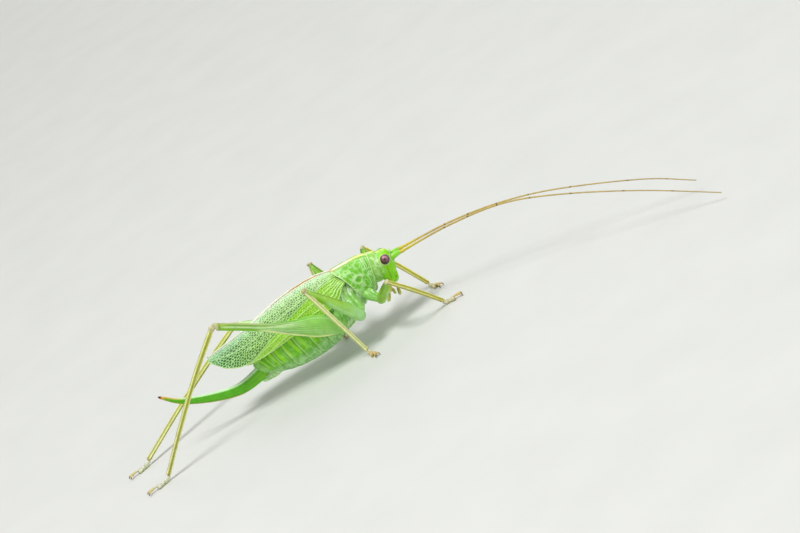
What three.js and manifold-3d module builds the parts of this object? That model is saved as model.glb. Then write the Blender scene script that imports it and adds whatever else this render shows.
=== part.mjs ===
// Oak bush-cricket, a long-horned grasshopper: a grown female, life size, standing on six feet.
// Millimetres. +X runs to the head, +Y to the insect's left and +Z up; the feet stand on Z = 0.

import * as THREE from 'three';
import { mergeVertices } from 'three/addons/utils/BufferGeometryUtils.js';
import Module from 'manifold-3d';

const wasm = await Module();
wasm.setup();

// ---------------------------------------------------------------- driving dimensions

const GAP = 0.12; // clear space between two pieces that meet
const LEAST = 0.25; // least half thickness of a leg, feeler or wing
const SHARED = 1e-4; // corners nearer than this are one corner
const FLOOR_MIDDLE = [3.95, -4.75, 0]; // middle of the ground that the insect covers
const SIDES = { right: -1, left: 1 }; // sign of Y on each side of the body

// A station is [x, y, z, half width, half depth]. Paired pieces are given for the left side.

const HEAD = [
  [5.22, 0, 3.5, 0.5, 0.34],
  [5.2, 0, 3.95, 0.88, 0.7],
  [5.18, 0, 4.55, 1.08, 0.95],
  [5.14, 0, 5.2, 1.14, 1.06],
  [5.02, 0, 5.75, 1.08, 0.98],
  [4.86, 0, 6.1, 0.82, 0.72],
  [4.72, 0, 6.34, 0.42, 0.36],
];
const CROWN_POINT = [
  [5.5, 0, 5.72, 0.4, 0.3],
  [5.95, 0, 5.62, 0.28, 0.22],
  [6.32, 0, 5.52, 0.14, 0.1],
];
const EYE = { centre: [5.51, 0.98, 5.44], radius: 0.42 };

const LABRUM = [
  [5.62, 0, 3.75, 0.4, 0.25],
  [5.56, 0, 3.4, 0.38, 0.25],
  [5.4, 0, 3.02, 0.26, 0.2],
];
const MANDIBLE = [
  [5.16, 0.4, 3.75, 0.25, 0.34],
  [5.14, 0.4, 3.4, 0.25, 0.3],
  [5.1, 0.28, 2.98, 0.2, 0.2],
];
const MAXILLARY_PALPS = {
  right: [
    [4.86, -0.8, 3.6, 0.25, 0.25],
    [4.5, -0.92, 2.9, 0.25, 0.25],
    [3.98, -0.9, 2.28, 0.25, 0.25],
  ],
  left: [
    [4.86, 0.8, 3.6, 0.25, 0.25],
    [5.18, 0.92, 2.6, 0.25, 0.25],
    [5.08, 0.86, 1.66, 0.25, 0.25],
  ],
};
const LABIAL_PALP = [
  [4.72, 0.3, 3.7, 0.22, 0.25],
  [4.66, 0.31, 3, 0.22, 0.25],
  [4.86, 0.31, 2.35, 0.22, 0.25],
];

const SCAPE = [
  [5.9, 0.36, 5.06, 0.24, 0.24],
  [6.3, 0.38, 5.16, 0.29, 0.29],
  [6.85, 0.43, 5.16, 0.26, 0.26],
];
const FEELER_LINES = {
  left: [
    [7.02, 0.43, 5.12],
    [11.5, -1.85, 5.5],
    [15.7, -4.3, 5.42],
    [19.9, -6.73, 4.66],
    [25.6, -10.03, 2.8],
    [28.9, -11.94, 1.1],
  ],
  right: [
    [7.02, -0.45, 5.1],
    [11.3, -3.21, 5.75],
    [15.6, -6.2, 5.9],
    [19.6, -9.07, 5.0],
    [24.7, -12.68, 3.08],
    [29.6, -16.1, 0.7],
  ],
};
const FEELER_CUTS = [0, 0.33, 0.66, 1]; // a feeler is made in three lengths
const FEELER_STEPS = 4; // steps between the stations of one length
const FEELER_TAPER = 0.4; // share of its thickness that a feeler loses over its last stretch
const FEELER_TAPER_FROM = 0.85; // where that stretch begins
const FEELER_TIP = 0.03; // share of the last length that is rounded off

const PRONOTUM = [
  [4.85, 0, 5.1, 0.98, 1.3],
  [4.2, 0, 5.05, 1.22, 1.55],
  [3.3, 0, 5.05, 1.42, 1.62],
  [2.3, 0, 5.05, 1.5, 1.66],
  [1, 0, 5.05, 1.48, 1.68],
];
const PRONOTUM_SQUARENESS = 2.7; // 2 is an oval section
// Cross grooves of the saddle: where each lies along it, its depth as a share of the radius.
const PRONOTUM_GROOVES = [
  { at: 0.22, depth: 0.03 },
  { at: 0.5, depth: 0.035 },
];
const GROOVE_WIDTH = 0.07; // half the width of a groove, as a share of the saddle's length
// Side view of the saddle's edge, [x, z], from its rear round the hanging lobe to its front.
const PRONOTUM_EDGE = [
  [1.19, 7],
  [1.32, 6.68],
  [1.75, 6.1],
  [2.06, 5.3],
  [2.32, 4.4],
  [2.8, 3.84],
  [3.42, 3.86],
  [3.98, 4.4],
  [4.2, 5.2],
  [4.38, 6],
  [4.62, 7],
];

const THORAX = [
  [3.95, 0, 4.35, 0.5, 0.6],
  [3.2, 0, 4.3, 0.85, 1],
  [2.4, 0, 4.35, 1.05, 1.45],
  [1.5, 0, 4.3, 1.3, 1.88],
  [0.25, 0, 4.12, 1.4, 2.2],
];
const ABDOMEN = [
  [0.13, 0, 4.08, 1.42, 2.2],
  [-1.2, 0, 3.88, 1.62, 2.5],
  [-2.8, 0, 3.72, 1.68, 2.58],
  [-4.4, 0, 3.5, 1.6, 2.3],
  [-5.8, 0, 3.32, 1.38, 1.82],
  [-7, 0, 3.06, 0.95, 1.16],
  [-7.4, 0, 2.96, 0.72, 0.85],
];
const SEGMENTS = 10; // rings of the abdomen
const SEGMENT_FACES = 3; // rows of faces along one ring
const SEGMENT_STEP = 0.04; // how far each ring's rear edge stands proud, as a share of its radius

const SUBGENITAL_PLATE = [
  [-6.9, 0, 2.05, 0.55, 0.25],
  [-7.5, 0, 1.86, 0.5, 0.25],
  [-8, 0, 1.78, 0.3, 0.2],
];
const CERCUS = [
  [-7, 0.5, 3.7, 0.25, 0.25],
  [-7.7, 0.66, 3.84, 0.22, 0.22],
  [-8.3, 0.5, 3.9, 0.1, 0.1],
];
const OVIPOSITOR_BASE = [
  [-7, 0, 2.75, 0.34, 0.7],
  [-7.88, 0, 2.55, 0.32, 0.62],
  [-9.28, 0, 2.34, 0.3, 0.57],
  [-10.4, 0, 2.44, 0.28, 0.5],
];
const OVIPOSITOR_BLADE = [
  [-10.52, 0, 2.46, 0.28, 0.49],
  [-11.9, 0, 2.92, 0.26, 0.43],
  [-13.56, 0, 3.67, 0.25, 0.33],
  [-14.63, 0, 4.36, 0.22, 0.22],
  [-15.7, 0, 5.45, 0.06, 0.03],
];

// Fore wing: its ridge along the back and its lower edge, [x, z], both from the root to the tip.
const WING_RIDGE = [
  [2, 6.5],
  [-0.17, 7.06],
  [-3.08, 7.02],
  [-6.43, 6.37],
  [-10.6, 5.95],
];
const WING_LOWER_EDGE = [
  [2, 6.1],
  [0.3, 4.6],
  [-3.2, 4.26],
  [-7.2, 4.1],
  [-9.5, 4.62],
  [-10.72, 5.8],
];
const WING_SPREAD = [1.3, 1.75, 1.78, 1.4, 0.75]; // Y of the lower edge, root to tip
const WING_MIDLINE = 0.09; // Y of the edge that lies along the back
const WING_VAULT = 2.4; // how late the wing turns down: 1 is a plain roof
const WING_THICKNESS = 2 * LEAST;
const WING_COLUMNS = 16;
const WING_ROWS = 10;
const VEIN_RISE = 0.1; // how far a main vein stands out of the wing

// A foot's jointed pads, between shares of the way from the ankle to the toe.
const PADS = [
  { from: -0.06, to: 0.3, wide: 0.27, deep: 0.27, lift: 0.05 },
  { from: 0.26, to: 0.47, wide: 0.28, deep: 0.24, lift: 0 },
  { from: 0.42, to: 0.66, wide: 0.4, deep: 0.22, lift: 0 },
];
const PAD_ENDS = [0.8, 0.9]; // width of a pad's ends, as a share of its middle's
// The foot's last joint and a claw: [share of the way, Y off the middle line, height, half thickness].
const LAST_JOINT = [
  [0.5, 0, 0.26, 0.2],
  [0.78, 0, 0.32, 0.2],
  [1, 0, 0.26, 0.22],
];
const CLAW = [
  [0.96, 0.06, 0.26, 0.13],
  [1.12, 0.22, 0.24, 0.09],
  [1.2, 0.28, 0.05, 0.03],
];
const GROUND_BITE = 0.03; // how far the soles are rounded below the ground before it trims them flat
const GROUND_BLOCK = [80, 80, 4]; // what trims them

// Sizes along a leg at even steps from the body out: half widths, half depths, and how far its middle
// line rises from the straight, upwards on a femur and backwards on a tibia.
const FRONT = {
  femur: { wide: [0.28, 0.33, 0.31, 0.28], deep: [0.3, 0.42, 0.38, 0.3], rise: [0, 0, 0, 0] },
  tibia: { wide: [0.28, 0.25, 0.25], deep: [0.3, 0.26, 0.26], rise: [0, 0.12, 0] },
  spines: 0,
};
const MIDDLE = {
  femur: { wide: [0.28, 0.34, 0.32, 0.28], deep: [0.3, 0.46, 0.42, 0.3], rise: [0, 0, 0, 0] },
  tibia: { wide: [0.25, 0.25, 0.25], deep: [0.28, 0.26, 0.26], rise: [0, 0, 0] },
  spines: 0,
};
const HIND = {
  femur: {
    wide: [0.28, 0.46, 0.4, 0.3, 0.27, 0.27],
    deep: [0.34, 0.93, 0.64, 0.32, 0.27, 0.3],
    rise: [0, 0.17, 0.03, 0, 0.05, 0],
  },
  tibia: { wide: [0.26, 0.25, 0.25, 0.25], deep: [0.3, 0.26, 0.25, 0.26], rise: [0, 0.2, 0.16, 0] },
  spines: 14,
};
// Spines in two rows down the back of a shin.
const SPINE = { radius: 0.1, length: 0.34, sunk: 0.12, sides: 4, lean: 0.7, spread: 0.7, seed: 7 };
const SPINE_ROW = [0.08, 0.94]; // where a row begins and ends, as shares of the shin

const FRONT_COXA = [
  [2.75, 0.8, 4.1, 0.42, 0.42],
  [3.15, 1.25, 3.62, 0.5, 0.48],
  [3.5, 1.58, 3.08, 0.36, 0.36],
];
const MIDDLE_COXA = [
  [1.55, 0.9, 4.1, 0.5, 0.5],
  [1.62, 1.35, 3.44, 0.68, 0.52],
  [1.72, 1.66, 2.77, 0.46, 0.42],
];
const HIND_COXA = [
  [0.12, 0.9, 3.8, 0.5, 0.5],
  [0.1, 1.35, 3.2, 0.68, 0.52],
  [0.12, 1.66, 2.68, 0.46, 0.42],
];
const TROCHANTER = 0.33; // radius of the small joint between coxa and femur
const LEGS = {
  front_right: {
    kind: FRONT, coxa: FRONT_COXA, side: -1,
    hip: [3.55, -1.85, 2.98], knee: [4.75, -4.6, 4.95], ankle: [7.7, -2.5, 0.45], toe: [9.1, -2.62, 0.2],
  },
  front_left: {
    kind: FRONT, coxa: FRONT_COXA, side: 1,
    hip: [3.55, 1.85, 2.98], knee: [4.47, 3, 6.09], ankle: [7.5, 3.1, 0.45], toe: [8.19, 1.9, 0.2],
  },
  middle_right: {
    kind: MIDDLE, coxa: MIDDLE_COXA, side: -1,
    hip: [1.64, -2.05, 2.8], knee: [-1.21, -3.7, 7.7], ankle: [0.52, -3, 0.45], toe: [0.98, -4.3, 0.2],
  },
  middle_left: {
    kind: MIDDLE, coxa: MIDDLE_COXA, side: 1,
    hip: [1.64, 2.05, 2.8], knee: [0.08, 4.4, 6.82], ankle: [-0.6, 3.3, 0.45], toe: [-0.35, 4.6, 0.2],
  },
  hind_right: {
    kind: HIND, coxa: HIND_COXA, side: -1,
    hip: [-0.18, -2.2, 2.83], knee: [-8.84, -3.3, 8.98], ankle: [-18.14, -3.2, 0.45], toe: [-19.95, -3.7, 0.2],
  },
  hind_left: {
    kind: HIND, coxa: HIND_COXA, side: 1,
    hip: [-0.18, 2.2, 2.83], knee: [-8.06, 6.5, 5.07], ankle: [-19.5, 2.6, 0.45], toe: [-21.2, 2.05, 0.2],
  },
};

// ---------------------------------------------------------------- shapes

const ACROSS = new THREE.Vector3(0, 1, 0);
const AHEAD = new THREE.Vector3(1, 0, 0);

const point = ([x, y, z]) => new THREE.Vector3(x, y, z);
const mix = THREE.MathUtils.lerp;

// The same stations on the other side of the body.
const mirrored = (stations, side) => stations.map(([x, y, z, ...size]) => [x, side * y, z, ...size]);

// A closed geometry as a solid that can be joined and cut.
function solid(geometry) {
  geometry.deleteAttribute('normal');
  geometry.deleteAttribute('uv');
  const shell = mergeVertices(geometry, SHARED);
  return new wasm.Manifold(new wasm.Mesh({
    numProp: 3,
    vertProperties: Float32Array.from(shell.attributes.position.array),
    triVerts: Uint32Array.from(shell.index.array),
  }));
}

const fuse = (solids) => solids.reduce((whole, piece) => whole.add(piece));

const volume = (piece) => piece.volume();

// What is left of a solid when its neighbours are taken out: its largest closed body.
function clear(piece, neighbours) {
  const left = neighbours.reduce((rest, neighbour) => rest.subtract(neighbour), piece);
  return left.decompose().sort((one, other) => volume(other) - volume(one))[0];
}

// Where one ring of a body lies along it, how wide its cap is open there, and how far the ring
// belongs to the first end (-1) or the last end (1), which move out when the body grows.
function ringPlace(ring, rings, caps) {
  const steps = caps.map((cap) => (cap > 0 ? 2 : 1));
  const fromLast = rings - ring;
  if (ring <= steps[0]) {
    const turn = (ring / steps[0]) * (Math.PI / 2);
    return { at: caps[0] * (1 - Math.cos(turn)), open: Math.sin(turn), end: -(caps[0] > 0 ? Math.cos(turn) : 1) };
  }
  if (fromLast <= steps[1]) {
    const turn = (fromLast / steps[1]) * (Math.PI / 2);
    return { at: 1 - caps[1] * (1 - Math.cos(turn)), open: Math.sin(turn), end: caps[1] > 0 ? Math.cos(turn) : 1 };
  }
  const share = (ring - steps[0]) / (rings - steps[0] - steps[1]);
  return { at: mix(caps[0], 1 - caps[1], share), open: 1, end: 0 };
}

// A closed body along a smooth line through its stations. Its width runs along "side" and its depth
// square to that. Each end is rounded over a share of the length, its cap, or flat where the cap is 0.
// Grown, it is larger all round by that much.
function body(stations, options = {}) {
  const { around = 10, rings = 8, caps = [0.1, 0.1], side = ACROSS, square = 2, grow = 0 } = options;
  const relief = options.relief ?? (() => 1);
  const line = new THREE.CatmullRomCurve3(stations.map(point));
  const sizes = stations.map(([, , , wide, deep]) => new THREE.Vector3(wide, deep, 0));
  const size = new THREE.CatmullRomCurve3(sizes, false, 'catmullrom');
  const skin = new THREE.SphereGeometry(1, around, rings);
  const corners = skin.attributes.position;
  const places = skin.attributes.uv;
  for (let index = 0; index < corners.count; index += 1) {
    const { at, open, end } = ringPlace(Math.round((1 - places.getY(index)) * rings), rings, caps);
    const angle = -places.getX(index) * 2 * Math.PI;
    const along = line.getTangent(at);
    const over = side.clone().addScaledVector(along, -side.dot(along)).normalize();
    const up = along.clone().cross(over);
    const half = size.getPoint(at);
    const [cos, sin] = [Math.cos(angle), Math.sin(angle)];
    const corner = (Math.abs(cos) ** square + Math.abs(sin) ** square) ** (-1 / square);
    const reach = open * corner * relief(angle, at);
    const spot = line.getPoint(at).addScaledVector(along, end * grow);
    spot.addScaledVector(over, (half.x + grow) * reach * cos);
    spot.addScaledVector(up, (half.y + grow) * reach * sin);
    corners.setXYZ(index, spot.x, spot.y, spot.z);
  }
  return solid(skin);
}

// A ball round a point.
function ball(centre, radius, around = 12) {
  const geometry = new THREE.SphereGeometry(radius, around, Math.round(around * 0.6));
  return solid(geometry.translate(...centre));
}

// Stations at even steps between two points, each raised from the straight by its own amount.
function limb(from, to, { wide, deep, rise }, up) {
  return wide.map((half, index) => {
    const share = index / (wide.length - 1);
    const spot = point(from).lerp(point(to), share).addScaledVector(up, rise[index]);
    return [...spot.toArray(), half, deep[index]];
  });
}

// A closed sheet with an outer and an inner face, both split into triangles alike.
function sheet(face, columns, rows, side) {
  const corners = [];
  for (const inside of [false, true]) {
    for (let column = 0; column <= columns; column += 1) {
      for (let row = 0; row <= rows; row += 1) {
        corners.push(...face(column / columns, row / rows, inside).toArray());
      }
    }
  }
  const layer = (columns + 1) * (rows + 1);
  const corner = (column, row) => column * (rows + 1) + row;
  const faces = [];
  const triangle = (a, b, c) => faces.push(...(side > 0 ? [a, c, b] : [a, b, c]));
  const square = (a, b, c, d) => {
    triangle(a, b, c);
    triangle(a, c, d);
  };
  for (let column = 0; column < columns; column += 1) {
    for (let row = 0; row < rows; row += 1) {
      const [a, b] = [corner(column, row), corner(column + 1, row)];
      square(a, b, b + 1, a + 1);
      triangle(layer + a, layer + b + 1, layer + b);
      triangle(layer + a, layer + a + 1, layer + b + 1);
    }
    const [near, next] = [corner(column, 0), corner(column + 1, 0)];
    square(near, layer + near, layer + next, next);
    square(next + rows, layer + next + rows, layer + near + rows, near + rows);
  }
  for (let row = 0; row < rows; row += 1) {
    const [root, tip] = [corner(0, row), corner(columns, row)];
    square(root + 1, layer + root + 1, layer + root, root);
    square(tip, layer + tip, layer + tip + 1, tip + 1);
  }
  const geometry = new THREE.BufferGeometry();
  geometry.setAttribute('position', new THREE.Float32BufferAttribute(corners, 3));
  geometry.setIndex(faces);
  return solid(geometry);
}

// A flat outline in the side view, [x, z], carried right across the body. Grown, each of its points
// moves out square to its neighbours, to the right of the way round.
function sideView(outline, breadth, grow) {
  const points = outline.map(([x, z]) => new THREE.Vector2(x, z));
  const grown = points.map((spot, index) => {
    const way = points[Math.min(index + 1, points.length - 1)].clone().sub(points[Math.max(index - 1, 0)]);
    return spot.clone().add(new THREE.Vector2(way.y, -way.x).normalize().multiplyScalar(grow));
  });
  const shape = new THREE.Shape();
  shape.moveTo(grown[0].x, grown[0].y);
  shape.splineThru(grown.slice(1));
  const block = new THREE.ExtrudeGeometry(shape, { depth: breadth, bevelEnabled: false, curveSegments: 3 });
  return solid(block.rotateX(Math.PI / 2).translate(0, breadth / 2, 0));
}

const ground = () => solid(new THREE.BoxGeometry(...GROUND_BLOCK).translate(0, 0, -GROUND_BLOCK[2] / 2));

// ---------------------------------------------------------------- the pieces, each at a given growth

const head = (grow = 0) => fuse([
  body(HEAD, { around: 16, rings: 11, caps: [0.06, 0.1], grow }),
  body(CROWN_POINT, { around: 8, rings: 6, caps: [0.1, 0.2], grow }),
]);
const eye = (side, grow = 0) => {
  const [x, y, z] = EYE.centre;
  return ball([x, side * y, z], EYE.radius + grow, 13);
};
const labrum = (grow = 0) => body(LABRUM, { around: 10, rings: 6, caps: [0, 0.3], square: 3, grow });
const mandible = (side, grow = 0) => (
  body(mirrored(MANDIBLE, side), { around: 8, rings: 5, caps: [0, 0.3], grow })
);
const scape = (side, grow = 0) => body(mirrored(SCAPE, side), { around: 10, rings: 8, caps: [0.1, 0], grow });
const palp = (stations, grow = 0) => body(stations, { around: 7, rings: 7, caps: [0, 0.18], grow });

const pronotum = (grow = 0) => {
  const groove = (place, at, depth) => depth * Math.exp(-(((at - place) / GROOVE_WIDTH) ** 2));
  const relief = (angle, at) => PRONOTUM_GROOVES.reduce((rest, one) => rest - groove(one.at, at, one.depth), 1);
  const square = PRONOTUM_SQUARENESS;
  const saddle = body(PRONOTUM, { around: 20, rings: 14, caps: [0, 0], square, relief, grow });
  return saddle.intersect(sideView(PRONOTUM_EDGE, 4, grow));
};
const thorax = (grow = 0) => body(THORAX, { around: 14, rings: 7, caps: [0.08, 0], grow });
const abdomen = (grow = 0) => {
  const relief = (angle, at) => 1 + SEGMENT_STEP * (((at * SEGMENTS + SHARED) % 1) - 0.5);
  const rings = SEGMENT_FACES * (SEGMENTS - 1) + 3;
  return body(ABDOMEN, { around: 18, rings, caps: [0, 1 / SEGMENTS], relief, grow });
};
const subgenitalPlate = (grow = 0) => body(SUBGENITAL_PLATE, { around: 10, rings: 7, caps: [0, 0.2], grow });
const cercus = (side, grow = 0) => body(mirrored(CERCUS, side), { around: 8, rings: 7, caps: [0, 0.1], grow });
const ovipositorBase = (grow = 0) => body(OVIPOSITOR_BASE, { around: 12, rings: 9, caps: [0, 0], grow });
const ovipositorBlade = (grow = 0) => body(OVIPOSITOR_BLADE, { around: 12, rings: 12, caps: [0, 0.02], grow });

// Fore wing: a vaulted sheet between its ridge on the back and its lower edge.
const flat = (outline) => new THREE.CatmullRomCurve3(outline.map(([x, z]) => new THREE.Vector3(x, 0, z)));
const wingRidge = flat(WING_RIDGE);
const wingLowerEdge = flat(WING_LOWER_EDGE);
const wingSpread = new THREE.CatmullRomCurve3(
  WING_SPREAD.map((spread) => new THREE.Vector3(spread, 0, 0)), false, 'catmullrom',
);
function wingPoint(side, along, down) {
  const ridge = wingRidge.getPoint(along);
  const edge = wingLowerEdge.getPoint(along);
  const spread = wingSpread.getPoint(THREE.MathUtils.clamp(along, 0, 1)).x;
  const across = mix(WING_MIDLINE, spread, down);
  return new THREE.Vector3(mix(ridge.x, edge.x, down), side * across, mix(ridge.z, edge.z, down ** WING_VAULT));
}
const NEAR = 0.01; // step that finds the wing's slope
// The main veins run from the root to the tip on every other row of the outer face.
function veinRise(along, down) {
  const onVein = Math.round(down * WING_ROWS) % 2 === 1;
  return onVein ? VEIN_RISE * Math.sqrt(Math.sin(Math.PI * along)) : 0;
}
function wing(side, grow = 0) {
  const face = (along, down, inside) => {
    const a = THREE.MathUtils.clamp(along, NEAR, 1 - NEAR);
    const d = THREE.MathUtils.clamp(down, NEAR, 1 - NEAR);
    const lengthwise = wingPoint(side, a + NEAR, d).sub(wingPoint(side, a - NEAR, d)).normalize();
    const downwards = wingPoint(side, a, d + NEAR).sub(wingPoint(side, a, d - NEAR)).normalize();
    const outward = lengthwise.clone().cross(downwards).normalize().multiplyScalar(-side);
    const spot = wingPoint(side, along, down);
    spot.addScaledVector(lengthwise, grow * (2 * along - 1));
    spot.addScaledVector(downwards, grow * (2 * down - 1));
    spot.addScaledVector(outward, inside ? -WING_THICKNESS - grow : veinRise(along, down) + grow);
    spot.y = side * Math.max(side * spot.y, WING_MIDLINE - grow);
    return spot;
  };
  return sheet(face, WING_COLUMNS, WING_ROWS, side);
}

// ---------------------------------------------------------------- legs

// A leg bends in one plane: the direction square to it, the way up from the femur within it, and the
// way out from the back of the shin.
function legFrame({ hip, knee, ankle }) {
  const thigh = point(knee).sub(point(hip));
  const shin = point(ankle).sub(point(knee));
  const square = thigh.clone().cross(shin).normalize();
  const up = square.clone().cross(thigh).normalize();
  const back = square.clone().cross(shin).normalize();
  return { square, up: up.z < 0 ? up.negate() : up, back: back.dot(thigh) < 0 ? back.negate() : back };
}

const coxa = (leg, grow = 0) => (
  body(mirrored(leg.coxa, leg.side), { around: 12, rings: 8, caps: [0.12, 0.2], side: AHEAD, grow })
);

function femur(leg, grow = 0) {
  const { square, up } = legFrame(leg);
  const stations = limb(leg.hip, leg.knee, leg.kind.femur, up);
  const shaft = body(stations, { around: 10, rings: 11, caps: [0.04, 0.03], side: square, grow });
  return fuse([shaft, ball(leg.hip, TROCHANTER + grow, 7)]);
}

// One spine that stands on a surface point and leans the given way.
function spine(root, direction, length) {
  const cone = new THREE.ConeGeometry(SPINE.radius, length + SPINE.sunk, SPINE.sides);
  cone.translate(0, (length - SPINE.sunk) / 2, 0);
  const turn = new THREE.Quaternion().setFromUnitVectors(ACROSS, direction);
  return solid(cone.applyQuaternion(turn).translate(...root.toArray()));
}

// The two rows of spines, uneven in place and length.
function shinSpines(leg, stations) {
  const { square, back } = legFrame(leg);
  const line = new THREE.CatmullRomCurve3(stations.map(point));
  const spines = [];
  THREE.MathUtils.seededRandom(SPINE.seed);
  const draw = () => THREE.MathUtils.seededRandom() - 0.5;
  for (let step = 0; step < leg.kind.spines; step += 1) {
    for (const row of [-1, 1]) {
      const place = mix(...SPINE_ROW, (step + 0.5 + 0.5 * draw()) / leg.kind.spines);
      const out = back.clone().addScaledVector(square, row * SPINE.spread).normalize();
      const root = line.getPoint(place).addScaledVector(out, LEAST - SPINE.radius / 2);
      const lean = out.clone().addScaledVector(line.getTangent(place), SPINE.lean).normalize();
      spines.push(spine(root, lean, SPINE.length * (1 + 0.5 * draw())));
    }
  }
  return spines;
}

function tibia(leg, grow = 0) {
  const { square, back } = legFrame(leg);
  const stations = limb(leg.knee, leg.ankle, leg.kind.tibia, back);
  const shaft = body(stations, { around: 8, rings: 9, caps: [0.03, 0.03], side: square, grow });
  return fuse([shaft, ...(grow ? [] : shinSpines(leg, stations))]);
}

function tarsus(leg) {
  const [ankle, toe] = [point(leg.ankle), point(leg.toe)];
  const across = toe.clone().sub(ankle).setZ(0).normalize().cross(new THREE.Vector3(0, 0, 1));
  const spot = (share, sideways, height) => (
    ankle.clone().lerp(toe, share).addScaledVector(across, sideways).setZ(height).toArray()
  );
  const pad = ({ from, to, wide, deep, lift }) => body(
    [
      [...spot(from, 0, lift + deep), wide * PAD_ENDS[0], deep],
      [...spot((from + to) / 2, 0, deep - GROUND_BITE), wide, deep],
      [...spot(to, 0, deep - GROUND_BITE), wide * PAD_ENDS[1], deep],
    ],
    { around: 7, rings: 4, caps: [0.3, 0.3], side: across },
  );
  const rod = (line, turn, options) => {
    const stations = line.map(([share, off, height, half]) => [...spot(share, turn * off, height), half, half]);
    return body(stations, { ...options, side: across });
  };
  const whole = fuse([
    ...PADS.map(pad),
    rod(LAST_JOINT, 1, { around: 6, rings: 4, caps: [0, 0.15] }),
    rod(CLAW, -1, { around: 4, rings: 4, caps: [0, 0] }),
    rod(CLAW, 1, { around: 4, rings: 4, caps: [0, 0] }),
  ]);
  return clear(whole, [ground()]);
}

// ---------------------------------------------------------------- assembly

const finish = (color, roughness) => new THREE.MeshStandardMaterial({ color, roughness, metalness: 0 });
const FACE_GREEN = finish('#7dc41e', 0.45);
const SADDLE_GREEN = finish('#8fcf6a', 0.5);
const BODY_GREEN = finish('#86cc3f', 0.5);
const SIDE_GREEN = finish('#a4d99a', 0.5);
const WING_GREEN = finish('#b4e39a', 0.4);
const THIGH_GREEN = finish('#8ccb5c', 0.5);
const BLADE_GREEN = finish('#55a81e', 0.35);
const STRAW = finish('#d8c84e', 0.5);
const HORN_BROWN = finish('#b58a3c', 0.55);
const PALE_BROWN = finish('#cfc39a', 0.55);
const EYE_PURPLE = finish('#4a1f33', 0.2);

const group = new THREE.Group();
group.position.set(...FLOOR_MIDDLE).negate();

// Adds one named piece to the insect.
function add(name, piece, material) {
  const mesh = piece.getMesh();
  const geometry = new THREE.BufferGeometry();
  geometry.setAttribute('position', new THREE.Float32BufferAttribute(mesh.vertProperties, 3));
  geometry.setIndex([...mesh.triVerts]);
  geometry.computeVertexNormals();
  const node = new THREE.Mesh(geometry, material);
  node.name = name;
  group.add(node);
}

const grownHead = head(GAP);
const grownSaddle = pronotum(GAP);
const grownThorax = thorax(GAP);
const grownAbdomen = abdomen(GAP);
const grownBlade = ovipositorBase(GAP);
const grownWings = [wing(-1, GAP), wing(1, GAP)];
const legs = Object.values(LEGS);
const grownCoxae = legs.map((leg) => coxa(leg, GAP));

add('head', clear(head(), [eye(-1, GAP), eye(1, GAP), scape(-1, GAP), scape(1, GAP)]), FACE_GREEN);
add('labrum', clear(labrum(), [grownHead]), FACE_GREEN);
add('pronotum', clear(pronotum(), [grownHead]), SADDLE_GREEN);
add('thorax', clear(thorax(), [grownHead, grownSaddle, ...grownWings]), SIDE_GREEN);
add('abdomen', clear(abdomen(), [grownThorax, ...grownWings, ...grownCoxae]), BODY_GREEN);
add('subgenital_plate', clear(subgenitalPlate(), [grownAbdomen, grownBlade]), SIDE_GREEN);
add('ovipositor_base', clear(ovipositorBase(), [grownAbdomen]), BLADE_GREEN);
add('ovipositor_blade', clear(ovipositorBlade(), [grownBlade]), BLADE_GREEN);

for (const [name, side] of Object.entries(SIDES)) {
  add(`eye_${name}`, eye(side), EYE_PURPLE);
  add(`scape_${name}`, scape(side), FACE_GREEN);
  add(`mandible_${name}`, clear(mandible(side), [grownHead, labrum(GAP)]), FACE_GREEN);
  add(`maxillary_palp_${name}`, clear(palp(MAXILLARY_PALPS[name]), [grownHead, mandible(side, GAP)]), STRAW);
  add(`labial_palp_${name}`, clear(palp(mirrored(LABIAL_PALP, side)), [grownHead, mandible(side, GAP)]), STRAW);
  add(`fore_wing_${name}`, clear(wing(side), [grownSaddle]), WING_GREEN);
  add(`cercus_${name}`, clear(cercus(side), [grownAbdomen, grownBlade]), STRAW);

  const line = new THREE.CatmullRomCurve3(FEELER_LINES[name].map(point));
  const halfGap = GAP / 2 / line.getLength();
  for (let length = 1; length < FEELER_CUTS.length; length += 1) {
    const [from, to] = [FEELER_CUTS[length - 1] + halfGap, FEELER_CUTS[length] - halfGap];
    const stations = Array.from({ length: FEELER_STEPS + 1 }, (_, step) => {
      const share = mix(from, to, step / FEELER_STEPS);
      const taper = Math.max(0, share - FEELER_TAPER_FROM) / (1 - FEELER_TAPER_FROM);
      const half = LEAST * (1 - FEELER_TAPER * taper);
      return [...line.getPointAt(share).toArray(), half, half];
    });
    const tip = length === FEELER_CUTS.length - 1 ? FEELER_TIP : 0;
    add(`feeler_${name}_${length}`, body(stations, { around: 8, rings: 10, caps: [0, tip] }), HORN_BROWN);
  }
}

for (const [name, leg] of Object.entries(LEGS)) {
  const green = leg.kind === HIND ? THIGH_GREEN : BODY_GREEN;
  const others = leg.kind === HIND ? [coxa(LEGS[name.replace('hind', 'middle')], GAP)] : [];
  add(`coxa_${name}`, clear(coxa(leg), [grownThorax, grownSaddle, ...others]), SIDE_GREEN);
  add(`femur_${name}`, clear(femur(leg), [coxa(leg, GAP)]), green);
  add(`tibia_${name}`, clear(tibia(leg), [femur(leg, GAP)]), STRAW);
  add(`tarsus_${name}`, clear(tarsus(leg), [tibia(leg, GAP)]), PALE_BROWN);
}

export default group;
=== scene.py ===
"""A grown female oak bush-cricket, a long-horned grasshopper, as a life-size museum model."""

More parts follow.
